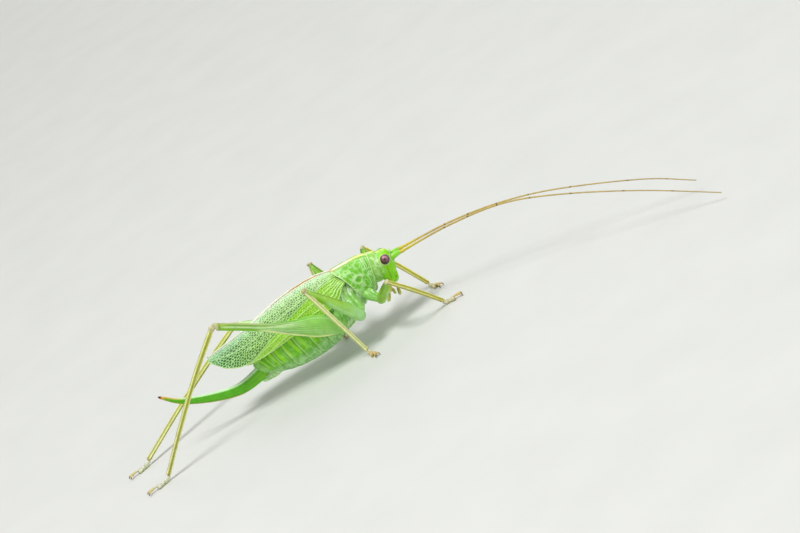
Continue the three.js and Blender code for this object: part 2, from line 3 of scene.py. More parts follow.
import bpy
import numpy as np
from mathutils import Matrix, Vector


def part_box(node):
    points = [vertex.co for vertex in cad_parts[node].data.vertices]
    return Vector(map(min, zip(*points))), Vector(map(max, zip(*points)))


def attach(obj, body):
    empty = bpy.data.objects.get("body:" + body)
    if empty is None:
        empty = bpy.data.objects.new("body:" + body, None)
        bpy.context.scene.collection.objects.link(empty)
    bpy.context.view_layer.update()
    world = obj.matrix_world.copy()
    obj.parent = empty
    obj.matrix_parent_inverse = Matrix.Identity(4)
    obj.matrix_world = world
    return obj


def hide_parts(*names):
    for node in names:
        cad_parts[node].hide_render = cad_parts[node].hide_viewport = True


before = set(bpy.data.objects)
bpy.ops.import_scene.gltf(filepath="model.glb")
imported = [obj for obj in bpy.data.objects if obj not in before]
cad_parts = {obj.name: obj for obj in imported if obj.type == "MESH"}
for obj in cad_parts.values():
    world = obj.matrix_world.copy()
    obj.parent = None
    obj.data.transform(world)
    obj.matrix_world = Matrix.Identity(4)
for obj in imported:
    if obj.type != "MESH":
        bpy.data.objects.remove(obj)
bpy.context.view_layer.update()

# ---------------------------------------------------------------- the insect's own axes
# Every size below is in millimetres on the insect's own axes: X runs to the head, Y to its left and
# Z up from the ground. The middle between the eyes is known on them and in the frame, and gives the
# shift from one to the other.

MM = 0.001
EYES_MIDDLE = np.array([5.51, 0.0, 5.44])
eye_boxes = np.array([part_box(f"eye_{name}") for name in ("left", "right")]).reshape(-1, 3)
SHIFT = eye_boxes.mean(axis=0) / MM - EYES_MIDDLE
SIDES = {"left": 1.0, "right": -1.0}
ACROSS = np.array([0.0, 1.0, 0.0])

# ---------------------------------------------------------------- the head
# A smooth egg-shaped capsule of hard skin, upright behind the feelers. Its crown ends in a blunt point
# between them, a low rim runs round each eye and each feeler's socket, and its nape slides into the
# collar of the saddle.

HEAD = [  # x, y, z, half width, half depth
    (5.22, 0, 3.5, 0.5, 0.34), (5.2, 0, 3.95, 0.88, 0.7), (5.18, 0, 4.55, 1.08, 0.95),
    (5.14, 0, 5.2, 1.14, 1.06), (5.06, 0, 5.66, 1.07, 0.96), (5.02, 0, 5.91, 0.78, 0.68),
    (5.02, 0, 6.06, 0.38, 0.34),
]
HEAD_GRID = (130, 150)
NAPE = [(3.7, 0, 5.05, 0.9, 1.1), (4.25, 0, 5.1, 1.04, 1.27), (4.65, 0, 5.1, 1.06, 1.23),
        (5.1, 0, 5.06, 0.98, 1.05)]
NAPE_GRID = (60, 130)
CROWN_POINT = [(5.4, 0, 5.74, 0.4, 0.3), (5.95, 0, 5.64, 0.27, 0.22), (6.32, 0, 5.53, 0.13, 0.1)]
CROWN_GRID = (40, 48)
CROWN_GROOVE = 0.025
EYE = (5.51, 0.98, 5.44)
EYE_RIM, RIM_RISE = 0.435, 0.04  # distance of the rim from the eye's middle, and its height
EYE_BED = 0.06
SOCKET = (5.98, 0.38, 5.1)
SOCKET_RIM, LIP_RISE = 0.36, 0.045
SOCKET_BED = 0.1
FACE_SEAM, CHEEK_SEAM = 0.035, 0.03  # depths
NAPE_FOLDS, NAPE_CREASES = 0.028, 0.03  # heights, on the head's back and on the nape
FINE = 0.006  # height of the skin's finest unevenness
TINY = 1e-9  # keeps a length that may be nothing from being divided by


def smooth(rows, places):
    """Smooth line through evenly spaced rows of numbers, read at shares 0 to 1 of its length:
    between two rows the cubic whose slope at each row is half the step from the row before it to
    the row after it."""
    rows = np.asarray(rows, float)
    rows = np.vstack([2 * rows[0] - rows[1], rows, 2 * rows[-1] - rows[-2]])
    spots = np.clip(places, 0, 1) * (len(rows) - 3)
    first = np.minimum(spots.astype(int), len(rows) - 4)
    part = (spots - first)[..., None]
    before, start, end, after = (rows[first + step] for step in range(4))
    slope, next_slope = (end - before) / 2, (after - start) / 2
    bend = 3 * (end - start) - 2 * slope - next_slope
    twist = 2 * (start - end) + slope + next_slope
    return start + slope * part + bend * part**2 + twist * part**3


def unit(arrows):
    """Arrows of length 1."""
    return arrows / np.maximum(np.linalg.norm(arrows, axis=-1, keepdims=True), TINY)


def hill(distance, width):
    """A rounded hill of height 1: e to the minus square of distance over width."""
    return np.exp(-((distance / width) ** 2))


def ramp(values, low, high):
    """From 0 at low to 1 at high along 3t² - 2t³."""
    part = np.clip((values - low) / (high - low), 0, 1)
    return part * part * (3 - 2 * part)


def chance(*numbers):
    """An even random number from 0 to 1 for each set of whole numbers: the fraction left of a
    large multiple of the sine of their weighted sum."""
    weights, multiple = (127.1, 311.7, 74.7, 53.3), 43758.5453
    mixed = np.sin(sum(weight * number for weight, number in zip(weights, numbers))) * multiple
    return mixed - np.floor(mixed)


def grain(points, size, seed):
    """Smooth noise from -1 to 1: random numbers on the corners of cubes of the given size, blended
    in each cube by 3t² - 2t³ along every edge."""
    cubes = points / size
    corner = np.floor(cubes)
    part = cubes - corner
    part = part * part * (3 - 2 * part)
    total = 0
    for step in np.ndindex(2, 2, 2):
        weight = np.prod(np.where(step, part, 1 - part), axis=-1)
        total = total + weight * chance(*np.moveaxis(corner + step, -1, 0), seed)
    return 2 * total - 1


def tube(stations, side, grid, square=2.0, caps=(0.1, 0.1)):
    """A body along the smooth line through its stations. Its sections are superellipses, in which
    the s-th powers of the two shares of the half width and half depth add up to 1, set square to
    the line, with the width along side. Over each cap, a share of the length, the section shrinks
    to nothing as a quarter circle does. The grid's rows lie closer near the ends. Returns points
    and outward arrows, rows by turns by 3, and each point's share along the line and angle round it."""
    rows, turns = grid
    first_cap, last_cap = caps
    evenness = 0.65
    along = 0.5 - 0.5 * np.cos(np.linspace(0, np.pi, rows))
    along = along * (1 - evenness) + np.linspace(0, 1, rows) * evenness
    angle = np.arange(turns) * 2 * np.pi / turns
    line = smooth(stations, along)
    step = 1e-3
    ahead = unit(smooth(stations, along + step)[:, :3] - smooth(stations, along - step)[:, :3])
    across = unit(side - ahead * (ahead @ side)[:, None])
    up = np.cross(ahead, across)
    open_first = np.sqrt(np.clip(1 - (1 - along / max(first_cap, TINY)) ** 2, 0, 1))
    open_last = np.sqrt(np.clip(1 - (1 - (1 - along) / max(last_cap, TINY)) ** 2, 0, 1))
    width = np.where(along < first_cap, open_first, 1) * np.where(along > 1 - last_cap, open_last, 1)
    cos, sin = np.cos(angle), np.sin(angle)
    corner = (np.abs(cos) ** square + np.abs(sin) ** square) ** (-1 / square)
    wide = (line[:, 3] * width)[:, None] * (cos * corner)
    deep = (line[:, 4] * width)[:, None] * (sin * corner)
    across, up = across[:, None], up[:, None]
    points = line[:, None, :3] + wide[..., None] * across + deep[..., None] * up
    out = (cos / line[:, 3:4])[..., None] * across + (sin / line[:, 4:5])[..., None] * up
    return points, unit(out), along[:, None] + 0 * wide, angle + 0 * wide


def lines(points, size, seed):
    """Fine wandering lines: the places where smooth noise, itself bent by a coarser noise, is near 0."""
    bend, coarser, width = 0.35, 1.7, 0.16
    bent = points + bend * size * grain(points, coarser * size, seed + 1)[..., None]
    return hill(grain(bent, size, seed), width)


def nape_folds(points):
    """Two nets of wandering lines, the coarser one drawn out upwards."""
    return np.clip(lines(points * (1.6, 1.0, 0.6), 0.3, 3) + 0.7 * lines(points, 0.22, 4), 0, 1)


def draw_in(grid):
    """A grid's values as one list, with its first and last rows each drawn in to their mean."""
    inner = grid[1:-1].reshape(-1, *grid.shape[2:])
    return np.concatenate([grid[:1].mean(axis=1), inner, grid[-1:].mean(axis=1)])


def bag(rows, turns):
    """Faces of a closed bag whose points are a drawn-in grid that goes round in its second
    direction: squares between the inner rows and a fan of triangles at each end. Also each face
    corner's share along and round the bag."""
    row, turn = np.meshgrid(np.arange(rows - 3), np.arange(turns), indexing="ij")
    row, turn = row.ravel(), turn.ravel()
    after = (turn + 1) % turns
    squares = np.stack([row * turns + turn, row * turns + after, (row + 1) * turns + after,
                        (row + 1) * turns + turn], axis=1) + 1
    square_rows = np.stack([row, row, row + 1, row + 1], axis=1) + 1
    square_turns = np.stack([turn, turn + 1, turn + 1, turn], axis=1)
    last = 1 + (rows - 2) * turns
    turn, after = np.arange(turns), (np.arange(turns) + 1) % turns
    first_fan = np.stack([np.zeros(turns, int), 1 + after, 1 + turn], axis=1)
    base = 1 + (rows - 3) * turns
    last_fan = np.stack([np.full(turns, last), base + turn, base + after], axis=1)
    fan_rows = np.repeat([[0, 1, 1], [rows - 1, rows - 2, rows - 2]], turns, axis=0)
    fan_turns = np.concatenate([np.stack([turn + 0.5, turn + 1, turn], axis=1),
                                np.stack([turn + 0.5, turn, turn + 1], axis=1)])
    shares = [np.stack([down / (rows - 1), about / turns], axis=-1)
              for down, about in ((square_rows, square_turns), (fan_rows, fan_turns))]
    return [squares, np.vstack([first_fan, last_fan])], shares


def closed(points, masks):
    """A closed surface from a grid that goes round in its second direction, and its masks."""
    faces, shares = bag(*points.shape[:2])
    return draw_in(points), faces, {key: draw_in(value) for key, value in masks.items()}, shares


MAP_MARGIN = 0.01  # share of a strip of the map left free on each side


def signed_volume(points, faces):
    """Six times the volume that faces close in, which is negative where they face inwards."""
    total = 0.0
    for group in faces:
        for corner in range(1, group.shape[1] - 1):
            a, b, c = points[group[:, 0]], points[group[:, corner]], points[group[:, corner + 1]]
            total += np.einsum("ij,ij->", a, np.cross(b, c))
    return total


def piece(name, surfaces, material, replaced):
    """One object of the scene from closed surfaces, each a (points, faces, masks, shares) with points
    in the insect's millimetres. It stands in for the solids whose names are given last. A mask is a
    number at each point that the material reads by name. The shares spread each surface over its own
    upright strip of the map."""
    points, groups, masks, places_on_map = [], [], {}, []
    count, strip_end = 0, 0.0
    face_counts = [sum(len(group) for group in faces) for _, faces, _, _ in surfaces]
    for (spots, faces, own, shares), face_count in zip(surfaces, face_counts):
        turned = signed_volume(spots - spots.mean(axis=0), faces) < 0
        groups += [(group[:, ::-1] if turned else group) + count for group in faces]
        strip = face_count / sum(face_counts)
        for share in shares:
            share = share[:, ::-1] if turned else share
            across = strip_end + strip * (MAP_MARGIN + (1 - 2 * MAP_MARGIN) * share[..., 1])
            places_on_map.append(np.stack([across, share[..., 0]], axis=-1).reshape(-1, 2))
        strip_end += strip
        points.append(spots)
        for key in set(masks) | set(own):
            earlier = masks.get(key, np.zeros(count))
            masks[key] = np.concatenate([earlier, own.get(key, np.zeros(len(spots)))])
        count += len(spots)
    mesh = bpy.data.meshes.new(name)
    mesh.vertices.add(count)
    mesh.vertices.foreach_set("co", ((np.concatenate(points) + SHIFT) * MM).ravel())
    corners = np.concatenate([group.ravel() for group in groups])
    sizes = np.concatenate([np.full(len(group), group.shape[1]) for group in groups])
    mesh.loops.add(len(corners))
    mesh.loops.foreach_set("vertex_index", corners)
    mesh.polygons.add(len(sizes))
    mesh.polygons.foreach_set("loop_start", np.cumsum(sizes) - sizes)
    mesh.polygons.foreach_set("use_smooth", np.ones(len(sizes), bool))
    mesh.update(calc_edges=True)
    uv_map = mesh.uv_layers.new(name="OFBake")
    uv_map.data.foreach_set("uv", np.concatenate(places_on_map).astype(np.float32).ravel())
    for key, values in masks.items():
        mesh.attributes.new(key, "FLOAT", "POINT").data.foreach_set("value", values.astype(np.float32))
    mesh.materials.append(material)
    thing = bpy.data.objects.new(name, mesh)
    bpy.context.scene.collection.objects.link(thing)
    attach(thing, "root")
    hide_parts(*replaced)


class Wire:
    """A number, colour or direction on its way through a material. The signs of arithmetic add
    the nodes that work it out."""

    def __init__(self, socket):
        self.socket = socket

    @classmethod
    def node(cls, tree, kind, settings=None, sockets=None, output=0):
        """Adds a node: its settings are set first, then its sockets get their values or links."""
        new = tree.nodes.new(kind)
        for key, value in (settings or {}).items():
            setattr(new, key, value)
        for key, value in (sockets or {}).items():
            if isinstance(value, Wire):
                tree.links.new(value.socket, new.inputs[key])
            else:
                new.inputs[key].default_value = value
        return cls(new.outputs[output])

    def sum(self, operation, first, second):
        """One step of arithmetic, as a node."""
        return Wire.node(self.socket.id_data, "ShaderNodeMath", {"operation": operation},
                         {0: first, 1: second})

    def __add__(self, other):
        return self.sum("ADD", self, other)

    def __radd__(self, other):
        return self.sum("ADD", other, self)

    def __sub__(self, other):
        return self.sum("SUBTRACT", self, other)

    def __rsub__(self, other):
        return self.sum("SUBTRACT", other, self)

    def __mul__(self, other):
        return self.sum("MULTIPLY", self, other)

    def __rmul__(self, other):
        return self.sum("MULTIPLY", other, self)


def mask(tree, name):
    """The number that the mesh keeps at each point under this name."""
    return Wire.node(tree, "ShaderNodeAttribute", {"attribute_name": name}, output="Fac")


def places(tree, stretch=(1.0, 1.0, 1.0)):
    """Where a point lies, in millimetres, closer or wider along each axis."""
    object_place = Wire.node(tree, "ShaderNodeTexCoord", output="Object")
    return Wire.node(tree, "ShaderNodeVectorMath", {"operation": "MULTIPLY"},
                     {0: object_place, 1: tuple(share / MM for share in stretch)})


def mottle(tree, per_mm, stretch=(1.0, 1.0, 1.0)):
    """Noise from 0 to 1 with so many lumps to the millimetre."""
    return Wire.node(tree, "ShaderNodeTexNoise", {"noise_dimensions": "3D"},
                     {"Vector": places(tree, stretch), "Scale": per_mm, "Detail": 3.0}, "Fac")


def pits(tree, per_mm):
    """Distance from the nearest of many scattered points, for pitted and scaly skin."""
    return Wire.node(tree, "ShaderNodeTexVoronoi", {"feature": "F1"},
                     {"Vector": places(tree), "Scale": per_mm}, "Distance")


def blend(tree, share, under, over, mode="MIX"):
    """One colour laid over another by a share from 0 to 1."""
    return Wire.node(tree, "ShaderNodeMix", {"data_type": "RGBA", "blend_type": mode},
                     {0: share, 6: under, 7: over}, 2)


DARKER, LIGHTER = (0.62, 0.66, 0.6, 1), (1.25, 1.22, 1.2, 1)  # what a fleck multiplies a colour by
CLOUDS, WEAR, WEAR_SPREAD = 2.2, 9.0, 0.3  # lumps to the millimetre, and how far the wear spreads


def cuticle(name, ground, marks, relief, fleck=0.16, rough=0.42, depth=0.02, glow=0.12, coat=0.06):
    """Insect skin: a ground colour, marks laid over it one after another where their masks say so,
    a fleck that darkens and lightens it, and a fine relief on a soft sheen."""
    material = bpy.data.materials.new(name)
    material.use_nodes = True
    tree = material.node_tree
    shader = tree.nodes["Principled BSDF"]
    colour = (*ground, 1.0)
    for attribute, over in marks:
        colour = blend(tree, mask(tree, attribute), colour, (*over, 1.0))
    shade = blend(tree, (mottle(tree, CLOUDS) - 0.5) * fleck * 4 + 0.5, DARKER, LIGHTER)
    colour = blend(tree, 1.0, colour, shade, "MULTIPLY")
    tree.links.new(colour.socket, shader.inputs["Base Color"])
    wear = mottle(tree, WEAR) * WEAR_SPREAD + (rough - WEAR_SPREAD / 2)
    tree.links.new(wear.socket, shader.inputs["Roughness"])
    bump = Wire.node(tree, "ShaderNodeBump", None,
                     {"Strength": 0.55, "Distance": depth * MM, "Height": relief(tree)}, "Normal")
    tree.links.new(bump.socket, shader.inputs["Normal"])
    shader.inputs["Specular IOR Level"].default_value = 0.27
    shader.inputs["Subsurface Weight"].default_value = glow
    shader.inputs["Subsurface Radius"].default_value = (0.5, 1.0, 0.25)
    shader.inputs["Subsurface Scale"].default_value = 0.25 * MM
    shader.inputs["Coat Weight"].default_value = coat
    shader.inputs["Coat Roughness"].default_value = 0.25
    return material


def away(points, centre):
    """Distance of each point from a centre."""
    return np.linalg.norm(points - np.array(centre), axis=-1)


def both(centre):
    """A centre on the left side and its mirror image on the right."""
    return [(centre[0], side * centre[1], centre[2]) for side in SIDES.values()]


def head_capsule():
    """The head's tube, pushed out and in along its outward arrows: out at the rims round the eyes
    and the feelers' sockets, in at the seams above and beside the mouth, with fine upright wrinkles
    on its back."""
    points, out, _, _ = tube(HEAD, ACROSS, HEAD_GRID, caps=(0.05, 0.12))
    x, y, z = np.moveaxis(points, -1, 0)
    eyes = np.minimum(*(away(points, spot) for spot in both(EYE)))
    sockets = np.minimum(*(away(points, spot) for spot in both(SOCKET)))
    front = ramp(x, 5.3, 5.8)
    seam = hill(z - 4.02 + 0.25 * y**2, 0.035) * front
    cheek = hill(x - 5.32 - 0.16 * (z - 4.6), 0.04) * ramp(z, 5.1, 4.7) * ramp(np.abs(y), 0.5, 0.75)
    seam_side = np.hypot(z - 4.16 + 0.25 * y**2, 1 - front)
    nape = ramp(x, 5.3, 4.95) * ramp(z, 4.2, 4.9)
    folds = nape_folds(points)
    push = RIM_RISE * hill(eyes - EYE_RIM, 0.04) - EYE_BED * hill(eyes, 0.32)
    push += LIP_RISE * hill(sockets - SOCKET_RIM, 0.05) - SOCKET_BED * hill(sockets, 0.24)
    push += NAPE_FOLDS * nape * folds - FACE_SEAM * seam - CHEEK_SEAM * cheek
    push += FINE * grain(points, 0.2, 5)
    points = points + push[..., None] * out
    crown = ramp(z, 5.55, 5.8) * (out[..., 2] > -0.2)
    # crease paints the wrinkles on the head's back pale as their highlights, pale is a painted highlight
    # along the edge above the face seam, and shade is painted shade in the seams.
    masks = {
        "mint": np.clip(nape + 0.35 * ramp(z, 5.0, 5.5) * ramp(x, 6.0, 5.2), 0, 1),
        "crease": nape * folds * 0.85,
        "stripe": ramp(np.abs(y), 0.17, 0.09) * crown,
        "rim": hill(eyes - EYE_RIM, 0.035) * 0.8,
        "socket": hill(sockets - SOCKET_RIM, 0.07) * 0.7,
        "shade": np.clip(seam + cheek, 0, 1) * 0.6,
        "pale": hill(seam_side, 0.05) * 0.7,
    }
    return closed(points, masks)


def nape():
    """The back of the head, a wide short tube that fills the saddle's collar, creased all round."""
    points, out, along, _ = tube(NAPE, ACROSS, NAPE_GRID, square=2.3)
    folds = nape_folds(points)
    points = points + (NAPE_CREASES * folds)[..., None] * out
    top = ramp(points[..., 2], 5.9, 6.1)
    # crease paints the folds pale as their highlights.
    masks = {"mint": 1 + 0 * along, "crease": folds * 0.85,
             "stripe": top * ramp(np.abs(points[..., 1]), 0.18, 0.1)}
    return closed(points, masks)


def crown_point():
    """The blunt point of the crown, a short tube with a shallow groove down its middle."""
    points, out, along, _ = tube(CROWN_POINT, ACROSS, CROWN_GRID, caps=(0.1, 0.25))
    groove = hill(points[..., 1], 0.04) * (out[..., 2] > 0)
    points = points - CROWN_GROOVE * groove[..., None] * out
    # The pale tip is a painted highlight.
    masks = {"pale": ramp(along, 0.2, 0.6), "stripe": ramp(along, 0.6, 0.1) * groove}
    return closed(points, masks)


FACE_GREEN = (0.28, 0.76, 0.004)
MINT = (0.26, 0.62, 0.07)
MINT_WHITE = (0.62, 0.88, 0.44)
YELLOW = (0.84, 0.88, 0.20)
CREAM = (0.78, 0.70, 0.42)
# The painted shade in the seams of the face and the creases of the mouth plates.
SEAM_SHADE = (0.07, 0.26, 0.005)
# On face_skin the crease colour is a painted highlight on folds; pale is the pale edge of the mouth plates
# and a painted highlight on the head, the crown point and the feelers' first joints; shade is painted
# shade.
face_skin = cuticle(
    "face_skin", FACE_GREEN,
    [("mint", MINT), ("crease", MINT_WHITE), ("socket", MINT_WHITE), ("shade", SEAM_SHADE),
     ("pale", MINT_WHITE), ("stripe", YELLOW), ("rim", CREAM)],
    relief=lambda tree: mottle(tree, 18.0) + pits(tree, 22.0) * 0.6,
)
piece("head_capsule", [head_capsule(), nape(), crown_point()], face_skin, ["head"])

# ---------------------------------------------------------------- the eyes
# Each compound eye is a dark glossy dome of some thousand facets, bedded in the rim of the head. It is
# brown-black at its edge. Painted on it are a lilac sheen towards the middle that darkens below as
# painted shade, a pink highlight above it, and in the middle the black spot that facets facing the
# camera show.

EYE_SIZE = (0.40, 0.40, 0.41)
EYE_TURN = np.array([0.0, 0.95, 0.31])  # the way the middle of the left eye looks
EYE_GRID = (160, 200)
FACET_ROWS = 30
FACET_HEIGHT = 0.004


def eye_dome(side):
    """An ellipsoid: the middle plus each half size times a unit arrow. Small domes stand on it,
    each the product of two half waves of the turn and of the angle from the pole."""
    rows, turns = EYE_GRID
    down = np.linspace(0, np.pi, rows)[:, None]
    turn = (np.arange(turns) * 2 * np.pi / turns)[None, :]
    arrows = np.stack([np.sin(down) * np.cos(turn), np.cos(down) + 0 * turn,
                       np.sin(down) * np.sin(turn)], axis=-1)
    facets = np.abs(np.sin(down * FACET_ROWS) * np.sin(turn * FACET_ROWS)) * np.sin(down)
    points = arrows * (np.array(EYE_SIZE) + FACET_HEIGHT * facets[..., None]) + EYE
    turned = np.arccos(np.clip(arrows @ unit(EYE_TURN), -1, 1))
    upward = arrows @ unit(np.array([0.5, 0.0, 0.85]))
    # The eye's masks are painted light: a lilac sheen round the middle that fades to dark below as painted
    # shade, a pink highlight on the upper part, and the dark spot that facets facing the camera show, set
    # where EYE_TURN points; mirrored, that is the camera's way from the right eye.
    masks = {"lilac": hill(turned - 0.4, 0.42) * ramp(upward, -0.45, 0.25),
             "pink": hill(turned - 0.55, 0.28) * ramp(upward, 0.3, 0.8), "spot": hill(turned, 0.2)}
    points[..., 1] *= side
    return closed(points, masks)


# On eye_glass the lilac sheen, the pink highlight and the dark spot are painted light; the brown-black
# ground is the eye's own.
eye_glass = cuticle(
    "eye_glass", (0.028, 0.010, 0.006),
    [("lilac", (0.26, 0.075, 0.12)), ("pink", (0.56, 0.26, 0.36)), ("spot", (0.006, 0.001, 0.003))],
    fleck=0.05, rough=0.28, relief=lambda tree: pits(tree, 45.0), depth=0.004, glow=0.0, coat=0.9,
)
for name, side in SIDES.items():
    piece(f"eye_dome_{name}", [eye_dome(side)], eye_glass, [f"eye_{name}"])

# ---------------------------------------------------------------- the feelers
# Each feeler has a stout green first joint in its socket, a short yellow second joint, and a whip of
# hundreds of rings that thins from the yellow root to a straw-brown thread. A few rings are dark.

SCAPE = [(5.86, 0.35, 5.06, 0.2, 0.2), (6.05, 0.37, 5.1, 0.24, 0.24), (6.42, 0.39, 5.15, 0.24, 0.24),
         (6.78, 0.42, 5.15, 0.19, 0.19), (6.92, 0.43, 5.14, 0.14, 0.14)]
SCAPE_GRID = (60, 48)
SCAPE_LIP, SCAPE_LUMPS = 0.02, 0.01
FEELER_LINES = {
    "left": [(6.86, 0.43, 5.14), (11.5, -1.85, 5.5), (15.7, -4.3, 5.42), (19.9, -6.73, 4.66),
             (25.6, -10.03, 2.8), (28.9, -11.94, 1.1)],
    "right": [(6.86, -0.45, 5.12), (11.3, -3.21, 5.75), (15.6, -6.2, 5.9), (19.6, -9.07, 5.0),
              (24.7, -12.68, 3.08), (29.6, -16.1, 0.7)],
}
FEELER_LENGTH = 28  # of the whip, rounded
WHIP_RINGS = 260
WHIP_GRID = (WHIP_RINGS * 5, 12)
JOINT_RADIUS, WHIP_RADIUS = 0.15, 0.115  # at the second joint, and at the root of the whip
ROOT_THINS, WHIP_THINS = 0.025, 0.05  # what the radius loses near the root, and evenly to the tip
RING_SWELL = 0.003
DARK_RINGS = (0.18, 0.27, 0.38, 0.5, 0.63, 0.76, 0.88)  # shares of the whip's length


def mirrored(stations, side):
    """Stations of the left side, or their mirror image on the right."""
    return [(x, side * y, *others) for x, y, *others in stations]


def scape(side):
    """The first joint: a tube with a slight waist and a raised lip at its far end."""
    points, out, along, angle = tube(mirrored(SCAPE, side), ACROSS, SCAPE_GRID, caps=(0.04, 0.1))
    push = SCAPE_LIP * hill(along - 0.86, 0.04) + SCAPE_LUMPS * grain(points, 0.12, 8)
    points = points + push[..., None] * out
    # The pale streaks that wind round the joint are painted highlights.
    masks = {"mint": 0.45 + 0 * along, "pale": ramp(np.sin(3 * angle + 5 * along), 0.3, 1.0) * 0.5,
             "rim": ramp(along, 0.8, 0.95)}
    return closed(points, masks)


def whip(name):
    """The rest of the feeler: a thin tube that narrows behind the second joint, again over the
    first 2.6 mm and then evenly to the tip, with a small swelling for every ring."""
    line = smooth(FEELER_LINES[name], np.linspace(0, 1, 60))
    stations = np.column_stack([line, np.ones((len(line), 2))])
    points, _, along, _ = tube(stations, ACROSS, WHIP_GRID, caps=(0.0, 0.0))
    middle = points.mean(axis=1, keepdims=True)
    length = along * FEELER_LENGTH
    neck = JOINT_RADIUS - WHIP_RADIUS
    pedicel = ramp(length, 0.0, 0.08) * (JOINT_RADIUS - neck * ramp(length, 0.35, 0.6))
    thread = WHIP_RADIUS - ROOT_THINS * ramp(length, 0.5, 2.6) - WHIP_THINS * along
    radius = np.where(length < 0.5, pedicel, thread)
    waves = along * WHIP_RINGS * 2 * np.pi
    radius = radius + RING_SWELL * np.sin(waves) * ramp(length, 0.6, 1.2)
    points = middle + unit(points - middle) * (radius * ramp(along, 1.0, 0.997))[..., None]
    dark = sum(hill(along - place, 0.0022) for place in DARK_RINGS)
    masks = {"root": ramp(length, 3.5, 0.8), "dark": np.clip(dark, 0, 1), "far": ramp(along, 0.3, 0.9),
             "ring": (0.5 - 0.5 * np.cos(waves)) * 0.4}
    return closed(points, masks)


whip_skin = cuticle(
    "whip_skin", (0.52, 0.38, 0.11),
    [("far", (0.40, 0.27, 0.10)), ("root", (0.74, 0.62, 0.06)), ("ring", (0.62, 0.50, 0.20)),
     ("dark", (0.10, 0.05, 0.02))],
    fleck=0.2, relief=lambda tree: mottle(tree, 25.0), depth=0.01,
)
for name, side in SIDES.items():
    piece(f"first_joint_{name}", [scape(side)], face_skin, [f"scape_{name}"])
    lengths = [f"feeler_{name}_{number}" for number in (1, 2, 3)]
    piece(f"whip_{name}", [whip(name)], whip_skin, lengths)

# ---------------------------------------------------------------- the mouth
# Below the face hang an upper lip, two mandibles behind it and two pairs of jointed palps. The lip and
# mandibles are green with pale edges, and the palps are soft, yellowish and blunt.

LABRUM = [(5.66, 0, 3.98, 0.46, 0.2), (5.64, 0, 3.75, 0.44, 0.2), (5.56, 0, 3.4, 0.4, 0.19),
          (5.4, 0, 3.04, 0.26, 0.14)]
MANDIBLE = [(5.16, 0.42, 3.95, 0.3, 0.4), (5.14, 0.42, 3.6, 0.28, 0.36), (5.12, 0.36, 3.25, 0.24, 0.26),
            (5.16, 0.18, 2.94, 0.12, 0.12)]
MAXILLARY_PALPS = {
    "right": [(4.9, -0.66, 3.86), (4.82, -0.84, 3.3), (4.42, -0.94, 2.86), (4.0, -0.9, 2.24)],
    "left": [(4.9, 0.66, 3.86), (5.16, 0.9, 3.2), (5.24, 0.92, 2.44), (5.08, 0.86, 1.64)],
}
LABIAL_PALP = [(4.74, 0.24, 3.86), (4.66, 0.31, 3.2), (4.72, 0.31, 2.76), (4.86, 0.31, 2.32)]
LONG_PALP_RADIUS, SHORT_PALP_RADIUS = 0.135, 0.105
PALP_SHAPE = [(-0.06, 0.55), (0.2, 0.8), (0.5, 1.0), (0.8, 1.05), (1.04, 0.85)]  # shares of length, radius
PLATE_GRID, PALP_GRID = (40, 40), (30, 24)
PLATE_CREASES = 3
MOUTH_LUMPS = 0.008


def plate(stations, square, depth):
    """A mouth plate: a squarish tube that narrows to a rounded edge, with a few shallow creases."""
    points, out, along, _ = tube(stations, ACROSS, PLATE_GRID, square=square, caps=(0.05, 0.3))
    from_crease = (along * PLATE_CREASES) % 1 - 0.5
    push = MOUTH_LUMPS * grain(points, 0.12, 12) - depth * hill(from_crease, 0.12)
    points = points + push[..., None] * out
    masks = {"pale": ramp(along, 0.55, 0.95) * 0.8, "shade": hill(from_crease, 0.1) * 0.5}
    return closed(points, masks)


def palp(joints, radius):
    """A palp: one short tube for each joint, thin at its root and swollen at its end, the last one
    longest and blunt."""
    surfaces = []
    for number, (start, end) in enumerate(zip(joints[:-1], joints[1:])):
        start, end = np.array(start, float), np.array(end, float)
        stations = [(*(start + (end - start) * share), radius * size, radius * size)
                    for share, size in PALP_SHAPE]
        points, out, along, _ = tube(stations, ACROSS, PALP_GRID, caps=(0.1, 0.25))
        points = points + MOUTH_LUMPS * grain(points, 0.08, 20 + number)[..., None] * out
        masks = {"pale": ramp(along, 0.7, 0.95), "brown": ramp(along, 0.75, 0.2) * 0.75}
        surfaces.append(closed(points, masks))
    return surfaces


palp_skin = cuticle(
    "palp_skin", (0.52, 0.54, 0.12), [("brown", (0.34, 0.28, 0.03)), ("pale", (0.86, 0.90, 0.56))],
    relief=lambda tree: mottle(tree, 14.0), glow=0.3, depth=0.012,
)
piece("upper_lip", [plate(LABRUM, 3.0, 0.02)], face_skin, ["labrum"])
for name, side in SIDES.items():
    piece(f"jaw_{name}", [plate(mirrored(MANDIBLE, side), 2.2, 0.012)], face_skin,
          [f"mandible_{name}"])
    piece(f"long_palp_{name}", palp(MAXILLARY_PALPS[name], LONG_PALP_RADIUS), palp_skin,
          [f"maxillary_palp_{name}"])
    piece(f"short_palp_{name}", palp(mirrored(LABIAL_PALP, side), SHORT_PALP_RADIUS), palp_skin,
          [f"labial_palp_{name}"])

# ---------------------------------------------------------------- the saddle
# The first ring of the thorax is a thin stiff saddle, open below, that hangs over the nape and the
# roots of the wings. It has two cross grooves, a round fold on each side, rims along its edges and fine
# wrinkles, with a band along its top that is yellow in front and cream behind. The wrinkles and the
# fold's raised ring are painted pale as their highlights, and the fold's hollow darker as painted shade.

